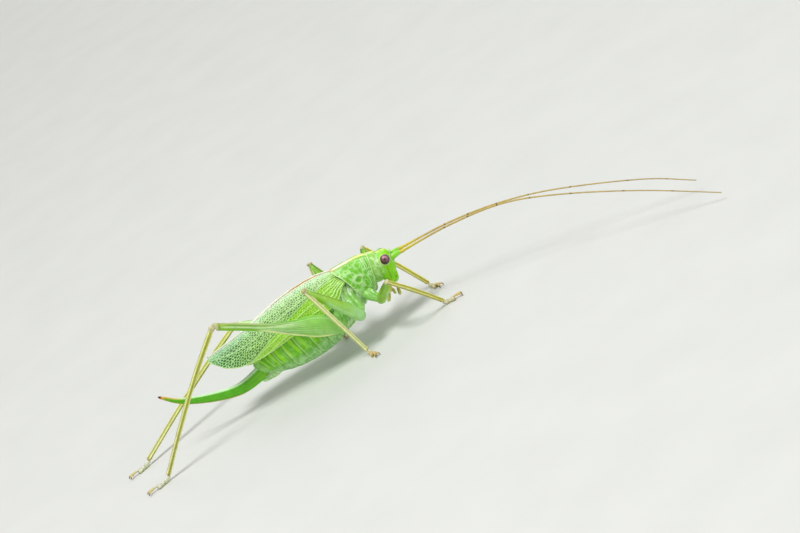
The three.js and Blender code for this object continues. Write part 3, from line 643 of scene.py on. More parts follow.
SADDLE = [  # x, y, z, half width, half depth, front to rear
    (4.85, 0, 5.1, 0.98, 1.3), (4.2, 0, 5.05, 1.22, 1.55), (3.3, 0, 5.05, 1.42, 1.62),
    (2.3, 0, 5.05, 1.5, 1.66), (1.0, 0, 5.05, 1.48, 1.68),
]
SADDLE_GRID = (140, 290)
SADDLE_SQUARE = 2.7
SADDLE_MIDDLE = (0, 0, 5.05)
SADDLE_FRONT = [(4.62, 7.0), (4.38, 6.0), (4.2, 5.2), (3.98, 4.4), (3.66, 3.98), (3.2, 3.78)]
SADDLE_REAR = [(1.19, 7.0), (1.32, 6.68), (1.75, 6.1), (2.06, 5.3), (2.32, 4.4), (2.66, 3.92), (3.0, 3.78)]
SADDLE_SPAN = 2.33  # angle from its top to its lower edge
SADDLE_WALL = 0.09
CROSS_GROOVES = ((4.0, 0.05), (2.95, 0.07))  # x and depth
SIDE_FOLD = (2.9, 1.45, 5.29)
SIDE_FOLD_SIZE = 0.33
SIDE_LENGTH = 3.6  # from the top to the lower edge, along the side
SADDLE_LENGTH = 3.0
COLLAR_PLEAT = 0.2  # from one pleat to the next
EDGE_RISE, FRONT_RISE, FOLD_RISE, WRINKLE_RISE = 0.05, 0.03, 0.05, 0.03
POOL_DEPTH = 0.04  # inside the side fold


def edge_at(edge, heights):
    """The x of an edge drawn in the side view, at the given heights: the smooth line through its
    points, read between two of 80 places on it."""
    x, z = smooth(edge, np.linspace(0, 1, 80)).T
    return np.interp(-heights, -z, x)


def outward(grid, inside):
    """Unit arrows square to a surface given as a grid of points: the cross product of its slopes
    along both directions, turned away from the points inside it."""
    arrows = unit(np.cross(np.gradient(grid, axis=0), np.gradient(grid, axis=1)))
    return arrows * np.sign(np.einsum("...i,...i", arrows, grid - inside))[..., None]


HALF = (0.5, 0)  # how far the inner side lies from the outer one on the map
EDGE_STRIP = 0.015


def shell(outer, inner, masks):
    """A closed shell whose points are an outer grid and then an inner one, with squares over both
    and along their four edges. The inner grid has the outer one's masks. On the map they lie in the
    two halves, and the edges lie just round the outer one."""
    rows, turns = outer.shape[:2]
    numbers = np.arange(rows * turns).reshape(rows, turns)
    below = numbers + rows * turns

    def squares(grid):
        return np.stack([grid[:-1, :-1], grid[1:, :-1], grid[1:, 1:], grid[:-1, 1:]], -1).reshape(-1, 4)

    ring = np.concatenate([numbers[0, :-1], numbers[:-1, -1], numbers[-1, :0:-1], numbers[:0:-1, 0]])
    lower = ring + rows * turns
    walls = np.stack([ring, np.roll(ring, -1), np.roll(lower, -1), lower], axis=-1)
    points = np.concatenate([outer.reshape(-1, 3), inner.reshape(-1, 3)])
    sides = np.vstack([squares(numbers), squares(below)[:, ::-1]])
    down, about = (np.linspace(MAP_MARGIN, reach - MAP_MARGIN, number)
                   for reach, number in ((HALF[0], rows), (1, turns)))
    half = np.stack(np.meshgrid(down, about, indexing="ij"), axis=-1).reshape(-1, 2)
    edge = half[ring]
    beyond = edge + EDGE_STRIP * (edge - (HALF[0] / 2, 0.5))
    rim = np.stack([edge, np.roll(edge, -1, axis=0), np.roll(beyond, -1, axis=0), beyond], axis=1)
    shares = np.vstack([np.vstack([half, half + HALF])[sides], rim])
    double = {key: np.concatenate([value.ravel(), value.ravel()]) for key, value in masks.items()}
    return points, [np.vstack([sides, walls])], double, [shares]


def saddle_sheet():
    """Superellipse sections like the head's, from one lower edge over the top to the other, each
    point lying between the front and rear edges at its own height. Grooves, folds, rims and
    wrinkles are hills pushed out or in along the outward arrows, and the wall thins to its edges."""
    rows, columns = SADDLE_GRID
    between = np.linspace(0, 1, rows)[:, None]
    angle = np.linspace(-SADDLE_SPAN, SADDLE_SPAN, columns)[None, :]
    corner = (np.abs(np.sin(angle)) ** SADDLE_SQUARE + np.abs(np.cos(angle)) ** SADDLE_SQUARE)
    corner = corner ** (-1 / SADDLE_SQUARE)
    x = 1.2 + 3.2 * between + 0 * angle
    for _ in range(12):  # each pass brings x and the height that it depends on closer together
        sizes = smooth(SADDLE, (SADDLE[0][0] - x) / (SADDLE[0][0] - SADDLE[-1][0]))
        height = sizes[..., 2] + sizes[..., 4] * corner * np.cos(angle)
        x = (1 - between) * edge_at(SADDLE_REAR, height) + between * edge_at(SADDLE_FRONT, height)
    points = np.stack([x, sizes[..., 3] * corner * np.sin(angle), height], axis=-1)
    out = outward(points, points * (1, 0, 0) + SADDLE_MIDDLE)
    side = np.abs(angle) / SADDLE_SPAN + 0 * between
    fold = np.minimum(*(away(points, spot) for spot in both(SIDE_FOLD)))
    fold = fold * (1 + 0.22 * grain(points, 0.3, 35))
    front, rear = (1 - between) * SADDLE_LENGTH + 0 * angle, between * SADDLE_LENGTH + 0 * angle
    lower = (1 - side) * SIDE_LENGTH
    wrinkles = np.clip(lines(points, 0.42, 31) + 0.8 * lines(points * (1, 1, 0.6), 0.26, 36), 0, 1)
    collar = ramp(front, 1.1, 0.5) * ramp(side, 0.1, 0.3)
    pleats = np.cos(front * 2 * np.pi / COLLAR_PLEAT + 1.8 * grain(points, 0.6, 33)) * collar
    tuck = 1 - 0.07 * hill(front, 0.35)[..., None] * (0, 1, 1)
    points = points * tuck + (1 - tuck) * SADDLE_MIDDLE
    push = sum(-depth * hill(x - place - 0.25 * (5.9 - height), 0.12) * ramp(side, 0.02, 0.16)
               for place, depth in CROSS_GROOVES)
    push = push + FOLD_RISE * hill(fold - SIDE_FOLD_SIZE, 0.07) - POOL_DEPTH * hill(fold, 0.2)
    push += FRONT_RISE * hill(front, 0.06) + EDGE_RISE * hill(rear, 0.07) + EDGE_RISE * hill(lower, 0.09)
    push += WRINKLE_RISE * wrinkles * ramp(side, 0.08, 0.25) + WRINKLE_RISE * pleats
    push += FINE * grain(points, 0.06, 34)
    points = points + push[..., None] * out
    from_edge = np.minimum(np.minimum(front, rear), lower)
    wall = SADDLE_WALL * (0.35 + 0.65 * ramp(from_edge, 0, 0.12))
    top = np.abs(points[..., 1]) + 0.05 * grain(points, 0.4, 37) + 0.02 * grain(points, 0.12, 38)
    # The crease and ring masks paint the wrinkles, the pleats and the fold's raised ring pale as their
    # highlights, and the mask in the fold's hollow darkens it as painted shade.
    masks = {
        "crease": np.clip(wrinkles * 0.6 + ramp(pleats, 0.3, 1.0) * 0.8, 0, 1) * ramp(side, 0.1, 0.22),
        "mint": ramp(side, 0.15, 0.35) * 0.9,
        "ring": hill(fold - SIDE_FOLD_SIZE, 0.08) * 0.7,
        "pool": hill(fold, 0.2) * 0.7,
        "rim": np.clip(hill(front, 0.09) + hill(rear, 0.1) + hill(lower, 0.12), 0, 1),
        "stripe": ramp(top, 0.31, 0.23) * (0.55 + 0.45 * ramp(x, 4.6, 4.0)),
        "cream": ramp(top, 0.28, 0.18) * ramp(x, 3.6, 2.6),
        "line": hill(top - 0.31, 0.04) * ramp(x, 2.6, 2.1) * 0.9,
        "tan": ramp(x + 2.5 * np.abs(points[..., 1]) ** 2, 1.7, 1.3) * ramp(top, 0.5, 0.25),
    }
    return shell(points, points - wall[..., None] * out, masks)


# On saddle_skin the crease and ring colours are painted highlights, and the darker green of the fold's
# hollow is painted shade.
saddle_skin = cuticle(
    "saddle_skin", (0.24, 0.58, 0.07),
    [("mint", (0.17, 0.56, 0.03)), ("pool", (0.11, 0.46, 0.01)), ("crease", (0.62, 0.94, 0.46)),
     ("ring", (0.58, 0.88, 0.40)), ("rim", (0.68, 0.90, 0.42)), ("stripe", (0.86, 0.92, 0.24)),
     ("cream", (0.96, 0.94, 0.70)), ("line", (0.42, 0.16, 0.04)), ("tan", (0.80, 0.42, 0.10))],
    relief=lambda tree: mottle(tree, 16.0) + pits(tree, 18.0) * 0.5, depth=0.025,
)
piece("saddle", [saddle_sheet()], saddle_skin, ["pronotum"])

# ---------------------------------------------------------------- the thorax behind the saddle
# Under the saddle and the wings the thorax is a deep soft-skinned box with slanting seams between its
# side plates, one above each leg.

THORAX = [
    (3.95, 0, 4.35, 0.5, 0.6), (3.2, 0, 4.3, 0.85, 1.0), (2.4, 0, 4.35, 1.12, 1.45),
    (1.5, 0, 4.3, 1.44, 1.88), (0.25, 0, 4.12, 1.56, 2.2), (-0.3, 0, 4.05, 1.5, 2.2),
]
THORAX_GRID = (150, 160)
PLATE_SEAMS = (2.45, 1.75, 1.1, 0.45)
SEAM_DEPTH, SEAM_LIP, SIDE_FOLDS, SIDE_LUMPS = 0.05, 0.04, 0.03, 0.01


def thorax_box():
    """The thorax's tube with slanting seams pushed in, and a lip beside each seam and soft wrinkles
    pushed out."""
    points, out, _, _ = tube(THORAX, ACROSS, THORAX_GRID, caps=(0.1, 0.02))
    x, _, z = np.moveaxis(points, -1, 0)
    slant = x - 0.32 * (z - 3.4)
    seam = sum(hill(slant - place, 0.05) for place in PLATE_SEAMS) * ramp(z, 5.6, 4.8)
    folds = np.clip(lines(points * (1, 1, 0.7), 0.4, 41) + 0.7 * lines(points, 0.26, 43), 0, 1)
    beside = sum(hill(slant - place - 0.16, 0.05) for place in PLATE_SEAMS) * ramp(z, 5.9, 5.2)
    push = SEAM_LIP * beside - SEAM_DEPTH * seam + SIDE_FOLDS * folds
    push = push + SIDE_LUMPS * grain(points, 0.07, 42)
    points = points + push[..., None] * out
    # crease paints the wrinkles and the lips beside the seams pale as their highlights, and shade is
    # painted shade in the seams.
    masks = {"shade": np.clip(seam, 0, 1) * 0.45, "crease": np.clip(folds * 0.7 + beside, 0, 1) * 0.9,
             "mint": ramp(z, 5.2, 3.8)}
    return closed(points, masks)


# On side_skin the crease colour is a painted highlight, on the thorax, the tail plate and the coxae.
side_skin = cuticle(
    "side_skin", (0.32, 0.68, 0.10),
    [("mint", (0.30, 0.64, 0.15)), ("crease", (0.74, 0.98, 0.64)), ("shade", (0.10, 0.34, 0.03))],
    relief=lambda tree: mottle(tree, 14.0), depth=0.025, glow=0.3, rough=0.45, coat=0.12,
)
piece("thorax_box", [thorax_box()], side_skin, ["thorax"])

# ---------------------------------------------------------------- the abdomen
# A soft cone of ten rings that grows from the thorax. Each ring's rear edge overlaps the next, a
# lengthwise pleat parts the back plates from the belly plates, and the skin between is bluish and
# finely creased.

ABDOMEN = [
    (0.3, 0, 4.08, 1.5, 2.12), (-1.2, 0, 3.88, 1.62, 2.46), (-2.8, 0, 3.72, 1.66, 2.54),
    (-4.4, 0, 3.5, 1.58, 2.26), (-5.8, 0, 3.32, 1.36, 1.8), (-6.75, 0, 3.1, 1.0, 1.3),
    (-7.25, 0, 2.88, 0.66, 0.96), (-7.55, 0, 2.68, 0.42, 0.72),
]
ABDOMEN_GRID = (420, 190)
RINGS = 10
RING_STEP, RING_SEAM, SIDE_PLEAT = 0.045, 0.05, 0.035
BELLY_FOLDS = 0.018
TAIL_LUMPS, TAIL_FOLDS = 0.05, 0.03


def abdomen_rings():
    """The abdomen's tube. Along each ring the radius swells from its front to a rounded rear edge,
    then drops to the next, and a shallow pleat runs lengthwise low on the side. Its end is lumpy."""
    points, out, along, _ = tube(ABDOMEN, ACROSS, ABDOMEN_GRID, caps=(0.02, 0.02))
    z = points[..., 2]
    middle, half = smooth(ABDOMEN, along)[..., 2], smooth(ABDOMEN, along)[..., 4]
    low = (middle - z) / half
    wave = along * RINGS + 0.12 * np.abs(low)
    ring, share = np.floor(wave), wave % 1
    seam = np.minimum(share, 1 - share)
    step = RING_STEP * (share**1.5 - 0.5) - RING_SEAM * hill(seam, 0.07)
    crease = hill(low - 0.46 - 0.03 * np.sin(2 * np.pi * share), 0.05)
    folds = lines(points * (1.5, 1, 0.55), 0.34, 51) + 0.7 * lines(points * (1, 1, 0.5), 0.22, 52)
    folds = np.clip(folds, 0, 1) * ramp(low, -0.5, 0.1)
    tail = ramp(along, 0.72, 0.95)
    step = step * ramp(along, 0.0, 0.05) * (1 - 0.5 * ramp(low, 0.4, 0.7)) * (1 - 0.6 * tail)
    lumps = TAIL_LUMPS * grain(points, 0.3, 55) + TAIL_FOLDS * lines(points, 0.22, 56)
    push = step - SIDE_PLEAT * crease
    push += BELLY_FOLDS * folds + tail * lumps
    push += FINE * grain(points, 0.05, 53)
    points = points + push[..., None] * out
    lime = ramp(np.sin(3.1 * ring + 9 * share + 2 * low) + 0.5 * grain(points, 0.4, 54), -0.2, 0.9)
    # crease paints the folds pale as their highlights; mint is the underside's paler bluish tone, its own
    # colour and partly painted rim light; shade is painted shade in the pleat and the ring seams.
    masks = {
        "lime": lime * ramp(low, 0.5, 0.1) * 0.85,
        "band": hill(share - 0.92, 0.06) * (0.6 - 0.2 * tail) * ramp(low, 0.9, 0.5),
        "crease": np.clip(folds * (0.3 + 0.4 * ramp(low, 0.3, 0.7))
                          + 0.6 * tail * lines(points, 0.22, 56), 0, 1),
        "mint": np.clip(ramp(low, 0.3, 0.7) + 0.5 * tail, 0, 1),
        "shade": np.clip(0.4 * crease + hill(seam, 0.035), 0, 1) * 0.5 * (1 - 0.5 * tail),
    }
    return closed(points, masks)


# On belly_skin the crease colour is a painted highlight, and the mint colour is partly painted rim light.
belly_skin = cuticle(
    "belly_skin", (0.18, 0.60, 0.006),
    [("lime", (0.40, 0.88, 0.01)), ("mint", (0.25, 0.57, 0.17)), ("crease", (0.54, 0.88, 0.40)),
     ("band", (0.62, 0.90, 0.34)), ("shade", (0.08, 0.30, 0.01))],
    relief=lambda tree: mottle(tree, 12.0, (1, 1, 0.6)) + pits(tree, 16.0) * 0.5,
    depth=0.03, glow=0.25,
)
piece("abdomen_rings", [abdomen_rings()], belly_skin, ["abdomen"])

# ---------------------------------------------------------------- the tail end
# Below the last ring hangs the pale keeled plate that guides the eggs, and above it stand the two
# short blunt feelers of the tail, the cerci. All three are soft skin that grows from the last ring.

TAIL_PLATE = [(-6.1, 0, 2.3, 0.6, 0.5), (-6.7, 0, 2.06, 0.56, 0.4), (-7.25, 0, 1.96, 0.44, 0.27),
              (-7.7, 0, 1.93, 0.3, 0.2), (-8.0, 0, 1.96, 0.14, 0.12)]
CERCUS = [(-6.85, 0.48, 3.66, 0.2, 0.2), (-7.35, 0.6, 3.78, 0.2, 0.2), (-7.8, 0.62, 3.86, 0.14, 0.14),
          (-8.3, 0.5, 3.9, 0.05, 0.05)]
TAIL_GRID, CERCUS_GRID = (60, 80), (50, 36)
KEEL, NOTCH, TAIL_CREASES, TAIL_GRAINS = 0.03, 0.16, 0.03, 0.012


def tail_plate():
    """The plate's tube, notched behind and keeled along its underside."""
    points, out, along, _ = tube(TAIL_PLATE, ACROSS, TAIL_GRID, caps=(0.05, 0.12))
    keel = hill(points[..., 1], 0.05) * (out[..., 2] < 0)
    notch = hill(points[..., 1], 0.1) * ramp(along, 0.85, 1.0)
    points = points + (KEEL * keel)[..., None] * out + notch[..., None] * (NOTCH, 0, 0)
    folds = lines(points, 0.2, 62)
    points = points + (TAIL_GRAINS * grain(points, 0.12, 61) + TAIL_CREASES * folds)[..., None] * out
    # crease gives the plate its own pale tone, whitest on the folds as their painted highlights.
    masks = {"mint": np.full(along.shape, 0.9), "crease": np.clip(0.3 + 0.7 * folds, 0, 1)}
    return closed(points, masks)


def cercus(side):
    """A slender tube with a faint unevenness."""
    points, out, _, _ = tube(mirrored(CERCUS, side), ACROSS, CERCUS_GRID, caps=(0.05, 0.1))
    return closed(points + (FINE * grain(points, 0.09, 63))[..., None] * out, {})


piece("tail_plate", [tail_plate()], side_skin, ["subgenital_plate"])
for name, side in SIDES.items():
    piece(f"cercus_cone_{name}", [cercus(side)], side_skin, [f"cercus_{name}"])

# ---------------------------------------------------------------- the ovipositor
# The egg-laying blade is a flat upcurved sabre of hard glossy skin that comes out between the last ring
# and the plate below it. An upper and a lower valve on each side meet in a groove. It is green and
# brown along its lower edge, with a painted highlight in pale along its top, and turns orange and then
# dark at its tip.

SABRE = [
    (-6.7, 0, 2.84, 0.3, 0.66), (-7.88, 0, 2.55, 0.29, 0.6), (-9.28, 0, 2.34, 0.24, 0.54),
    (-10.4, 0, 2.44, 0.21, 0.48), (-11.9, 0, 2.92, 0.18, 0.41), (-13.56, 0, 3.67, 0.16, 0.31),
    (-14.63, 0, 4.36, 0.13, 0.22), (-15.7, 0, 5.43, 0.05, 0.09),
]
SABRE_GRID = (360, 96)
BLADE_GROOVE, TEETH_RISE = 0.02, 0.008
TEETH = 420  # radians of their wave over the blade's length


def sabre():
    """The blade's tube with a groove a little below the middle of each side and fine teeth, a wave
    of the share along it, near the end of its lower edge."""
    points, out, along, angle = tube(SABRE, ACROSS, SABRE_GRID, square=2.3, caps=(0.0, 0.02))
    height = -np.sin(angle)
    groove = hill(height + 0.1, 0.06)
    teeth = (0.5 + 0.5 * np.sin(along * TEETH)) * ramp(along, 0.86, 0.92) * ramp(-height, 0.9, 1)
    push = TEETH_RISE * teeth * ramp(along, 1.0, 0.97) - BLADE_GROOVE * groove
    push += FINE * grain(points, 0.1, 71)
    points = points + push[..., None] * out
    masks = {
        "lime": ramp(along, 0.35, 0.05) * 0.8,
        "shade": groove * 0.3 + 0.35 * hill(height - 0.4, 0.12),
        # The pale band along the top is a painted highlight.
        "pale": ramp(height, 0.58, 0.74) * ramp(along, 1.0, 0.9) * (0.8 + 0.2 * ramp(along, 0.5, 0.1)),
        "orange": (ramp(along, 0.74, 0.96) * ramp(np.abs(height + 0.1), 0.3, 0.8) * 0.9
                   + ramp(along, 0.93, 0.97)),
        "brown": ramp(-height, 0.7, 0.84) * ramp(along, 0.22, 0.4) * 0.85,
        "dark": ramp(along, 0.965, 0.985),
    }
    return closed(points, masks)


# On sabre_skin the pale colour is a painted highlight along the top.
sabre_skin = cuticle(
    "sabre_skin", (0.11, 0.48, 0.008),
    [("lime", (0.24, 0.64, 0.02)), ("shade", (0.06, 0.34, 0.005)), ("pale", (0.70, 0.95, 0.62)),
     ("orange", (0.74, 0.42, 0.06)), ("brown", (0.58, 0.34, 0.05)), ("dark", (0.14, 0.02, 0.01))],
    rough=0.34, coat=0.25, depth=0.012, relief=lambda tree: mottle(tree, 10.0, (0.3, 1, 1)),
)
piece("sabre", [sabre()], sabre_skin, ["ovipositor_base", "ovipositor_blade"])

# ---------------------------------------------------------------- the fore wings
# Two stiff leathery wings, rooted under the saddle, lie along the back like a roof, the left edge over
# the right. A net of pale raised veins holds small dark windows, larger to the tip, a fan of veins
# spreads from the root, and a smooth whitish band runs on the ridge.

WING_RIDGE = [(2, 6.5), (-0.17, 7.06), (-3.08, 7.02), (-6.43, 6.37), (-10.6, 5.95)]
WING_LOWER_EDGE = [(2, 6.1), (0.3, 4.66), (-3.2, 4.36), (-7.2, 4.1), (-9.5, 4.62), (-10.72, 5.8)]
WING_SPREAD = [[1.3], [1.75], [1.78], [1.4], [0.75]]
WING_VAULT = 2.4
WING_WALL = 0.07
WING_GRID = (380, 125)
OVERLAP = {"left": (-0.12, 0.075), "right": (0.02, 0.0)}  # where the upper edge lies, and its lift
ROOT_DROP = 0.25  # how far the root lies lower, under the saddle
WING_MIDDLE = (0, 0, 4.6)
CELL = (0.225, 0.175)  # length and breadth of a window in the net
FAN = 15  # veins from the root
NET_RISE, VEIN_RISE, WING_EDGE, FAN_RISE, WING_WAVES = 0.03, 0.04, 0.03, 0.028, 0.02
VEINS = [  # shares of the way down the wing at even steps from the root to the tip
    (0.13, 0.17, 0.18, 0.21, 0.34), (0.28, 0.42, 0.46, 0.5, 0.58), (0.4, 0.58, 0.68, 0.72, 0.74),
    (0.5, 0.62, 0.84, 1.1, 1.3), (0.62, 0.76, 0.9, 1.02, 1.02), (0.8, 0.9, 0.97, 1.1, 1.2),
]
DIAGONAL = 3  # the vein that parts the field of windows from the clear field


def net(lengthwise, crosswise, seed):
    """Cells round scattered points, one to each tile of a brick pattern and moved from its middle by
    chance. Gives how much further the second nearest point is than the nearest, which is 0 on the
    borders, and a chance number for each cell."""
    nearest = np.full(lengthwise.shape, np.inf)
    second = nearest.copy()
    own = np.zeros(lengthwise.shape)
    row = np.floor(crosswise)
    for down in (-1, 0, 1):
        line = row + down
        shifted = lengthwise + 0.5 * (line % 2)
        column = np.floor(shifted)
        for step in (-1, 0, 1):
            tile = column + step
            off = tile + 0.5 + 0.8 * (chance(tile, line, seed) - 0.5) - shifted
            drop = line + 0.5 + 0.75 * (chance(tile, line, seed + 1) - 0.5) - crosswise
            distance = np.hypot(off, drop)
            closer = distance < nearest
            second = np.where(closer, nearest, np.minimum(second, distance))
            own = np.where(closer, chance(tile, line, seed + 2), own)
            nearest = np.where(closer, distance, nearest)
    return second - nearest, own


def wing_sheet(name):
    """Between the ridge and the lower edge, y goes evenly from one to the other and z as the share
    of the way to the power WING_VAULT, so the wing lies flat on the back and then turns down. The
    net, the main veins, the edges and the root's fan stand out as hills of their distance."""
    side = SIDES[name]
    start, lift = OVERLAP[name]
    columns, rows = WING_GRID
    along = np.linspace(0.0, 1.0, columns)[:, None]
    down = np.linspace(0, 1, rows)[None, :] ** 1.15
    ridge, edge = smooth(WING_RIDGE, along)[:, 0], smooth(WING_LOWER_EDGE, along)[:, 0]
    spread = smooth(WING_SPREAD, along)[:, 0]
    x = ridge[:, :1] + (edge[:, :1] - ridge[:, :1]) * down
    y = side * (start + (spread - start) * down)
    rise = lift * ramp(down, 0.5, 0.0) * ramp(along, 0.02, 0.12) - ROOT_DROP * ramp(along, 0.1, 0.02)
    z = ridge[:, 1:] + (edge[:, 1:] - ridge[:, 1:]) * down**WING_VAULT + rise
    points = np.stack([x, y, z], axis=-1)
    out = outward(points, points * (1, 0, 0) + WING_MIDDLE)
    steps = np.diff(points[..., 1:], axis=1, prepend=points[:, :1, 1:])
    across = np.cumsum(np.linalg.norm(steps, axis=-1), axis=1)
    length = 4 - points[..., 0]
    breadth = across[:, -1:]
    growth = 0.92 + 0.16 * along
    gap, own = net(length / CELL[0] / growth, across / CELL[1] / growth, 81 if side > 0 else 91)
    lines_down = [smooth(np.array(vein)[:, None], along)[:, 0] for vein in VEINS]
    spans = np.stack([np.abs(down - line) * breadth for line in lines_down])
    main = np.max(np.stack([hill(span, 0.035) for span in spans]), axis=0)
    behind = ramp((lines_down[DIAGONAL] - down) * breadth, -0.02, 0.08)
    depth = (down - lines_down[0]) * breadth + 0.025 * grain(points, 0.45, 84)
    band = ramp(depth, -0.02, 0.06)
    open_share = np.clip(0.75 * ramp(down, 0.25, 0.75) + 0.5 * ramp(along, 0.5, 0.9), 0, 1)
    pane = 0.30 - 0.13 * open_share
    windows = ramp(gap, pane, pane + 0.12) * (1 - 0.7 * main) * ramp(depth, 0.05, 0.22)
    # This mask whitens the upper wing below the ridge band and the band towards the tip: the wing's own
    # pale tone, and partly a painted sheen of the light from above.
    milk = ramp(depth, 0.95, 0.1) * ramp(depth, -0.02, 0.02) * ramp(along, 0.05, 0.2)
    dots = hill(depth - 0.05, 0.045) * hill((length / 0.25) % 1 - 0.5, 0.3) * ramp(along, 0.12, 0.2)
    veil = ramp(gap, pane, pane + 0.12) * (1 - band) * ramp(along, 0.08, 0.25)
    edges = np.minimum(across, breadth - across)
    fan = 0.5 + 0.5 * np.cos(down * 2 * np.pi * FAN + 2.5 * grain(points, 0.5, 83))
    root = ramp(along, 0.27, 0.11) * ramp(down, 0.25, 0.45)
    push = NET_RISE * (1 - ramp(gap, 0.15, 0.4)) * (0.35 + 0.65 * band) * (1 - root)
    push += VEIN_RISE * main + WING_EDGE * hill(edges, 0.05)
    push = push + WING_WAVES * grain(points, 0.5, 82) + FAN_RISE * root * fan
    surface = points + push[..., None] * out
    beside = hill((down - lines_down[DIAGONAL]) * breadth + 0.06, 0.035) * ramp(along, 0.2, 0.3)
    masks = {
        "cell": np.clip(windows * behind * (0.8 + 0.2 * own) * (0.7 + 0.3 * open_share)
                        * (1 - 0.45 * milk) * ramp(along, 0.08, 0.25) + 0.8 * dots + 0.16 * veil, 0, 1),
        "milk": np.clip(milk * 0.85 + (1 - band) * ramp(along, 0.45, 0.95), 0, 1),
        "tip": ramp(along, 0.5, 0.95) * 0.7 + 0 * down,
        "front": 1 - behind,
        "net": (1 - windows) * (1 - behind) * 0.8,
        "low": np.clip(ramp(down, 0.4, 0.9) + 0.15 * ramp(along, 0.6, 0.9), 0, 1) * behind * 0.9,
        "band": (1 - band) * (1 - 0.35 * ramp(along, 0.45, 0.95)),
        "vein": main * 0.3 * band,
        "dark": np.clip(beside * 0.7 + root * ramp(fan, 0.36, 0.1) * 0.7, 0, 1),
        "rim": hill(edges, 0.05) * ramp(down, 0.5, 0.8) * (0.3 + 0.7 * ramp(along, 0.05, 0.3)),
        "tan": hill(across, 0.12) * ramp(along, 0.13, 0.34) * ramp(along, 0.47, 0.4) * 0.8,
        "spray": root * ramp(fan, 0.5, 0.9) * 0.8,
        "frost": ramp(across, 0.2, 0.1) * ramp(along, 0.45, 0.75)
                 * (0.65 + 0.35 * grain(points, 0.1, 85)),
    }
    wall = WING_WALL * (0.4 + 0.6 * ramp(edges, 0.0, 0.08))
    return shell(surface, points - wall[..., None] * out, masks)


# On wing_skin the first mark is the wing's pale upper tone, partly a painted sheen of the light from
# above.
wing_skin = cuticle(
    "wing_skin", (0.56, 0.84, 0.40),
    [("milk", (0.68, 0.92, 0.64)), ("low", (0.52, 0.86, 0.26)), ("front", (0.24, 0.58, 0.012)),
     ("net", (0.54, 0.88, 0.15)), ("spray", (0.62, 0.92, 0.36)), ("tip", (0.28, 0.58, 0.33)),
     ("cell", (0.018, 0.11, 0.004)), ("dark", (0.06, 0.26, 0.01)),
     ("band", (0.82, 0.83, 0.68)), ("vein", (0.66, 0.90, 0.48)), ("rim", (0.70, 0.92, 0.44)),
     ("tan", (0.74, 0.42, 0.14)), ("frost", (0.80, 0.86, 0.84))],
    rough=0.4, coat=0.06, glow=0.15, depth=0.01, relief=lambda tree: mottle(tree, 20.0),
)
for name in SIDES:
    piece(f"wing_{name}", [wing_sheet(name)], wing_skin, [f"fore_wing_{name}"])

# ---------------------------------------------------------------- the legs
# Six jointed legs: a stout coxa in the body, a green thigh, a four-edged straw-yellow shin with grooves
# between its edges, and a foot of three pads, a slender last joint and two hooked claws. Fine hairs
# stand on shins and pads, and the long hind shins carry rows of spines.

# Thighs and shins have half widths and half depths at even steps of their length, and rises off the
# straight. Their last four numbers say how olive, amber or cream the skins are.
FRONT = {
    "thigh": [(0.28, 0.34), (0.31, 0.41), (0.28, 0.33), (0.18, 0.2)], "thigh_rise": (0, 0, 0, 0),
    "shin": [(0.16, 0.19), (0.17, 0.2), (0.15, 0.17)], "shin_rise": (0, 0.12, 0), "spines": 0,
    "round_end": 0.09, "knee_end": 0.06, "knee_slant": 0.14, "hairs": 380,
    "olive": 0.85, "amber_shin": 0.85, "cream_shin": 0.0, "amber_foot": 0.6,
}
MIDDLE = {
    "thigh": [(0.37, 0.5), (0.35, 0.49), (0.3, 0.41), (0.24, 0.29), (0.16, 0.175)],
    "thigh_rise": (0, 0, 0, 0, 0),
    "shin": [(0.17, 0.21), (0.16, 0.18), (0.15, 0.17)], "shin_rise": (0, 0, 0), "spines": 0,
    "round_end": 0.1, "knee_end": 0.03, "knee_slant": 0.18, "hairs": 480,
    "olive": 0.0, "amber_shin": 0.0, "cream_shin": 0.8, "amber_foot": 1.0,
}
HIND = {
    "thigh": [(0.26, 0.4), (0.44, 0.9), (0.38, 0.61), (0.28, 0.33), (0.23, 0.3), (0.22, 0.3)],
    "thigh_rise": (0, 0.17, 0.03, 0.02, 0.08, 0.08),
    "shin": [(0.18, 0.24), (0.18, 0.21), (0.17, 0.2), (0.16, 0.19)], "shin_rise": (0, 0.2, 0.16, 0),
    "spines": 84, "round_end": 0.05, "knee_end": 0.016, "knee_slant": 0.34, "hairs": 1000,
    "olive": 0.0, "amber_shin": 0.0, "cream_shin": 0.0, "amber_foot": 0.0,
}
FRONT_COXA = [(2.7, 0.75, 4.2, 0.5, 0.5), (3.0, 1.15, 3.78, 0.5, 0.47), (3.3, 1.5, 3.38, 0.4, 0.38),
              (3.52, 1.74, 3.04, 0.28, 0.28)]
MIDDLE_COXA = [(1.4, 0.9, 4.7, 0.66, 0.5), (1.5, 1.3, 3.9, 0.64, 0.48), (1.62, 1.6, 3.3, 0.52, 0.42),
               (1.68, 1.86, 2.86, 0.36, 0.34)]
HIND_COXA = [(0.1, 0.9, 4.3, 0.7, 0.5), (0.06, 1.4, 3.6, 0.66, 0.5), (0.02, 1.72, 3.14, 0.52, 0.42),
             (-0.06, 2.0, 2.86, 0.36, 0.34)]
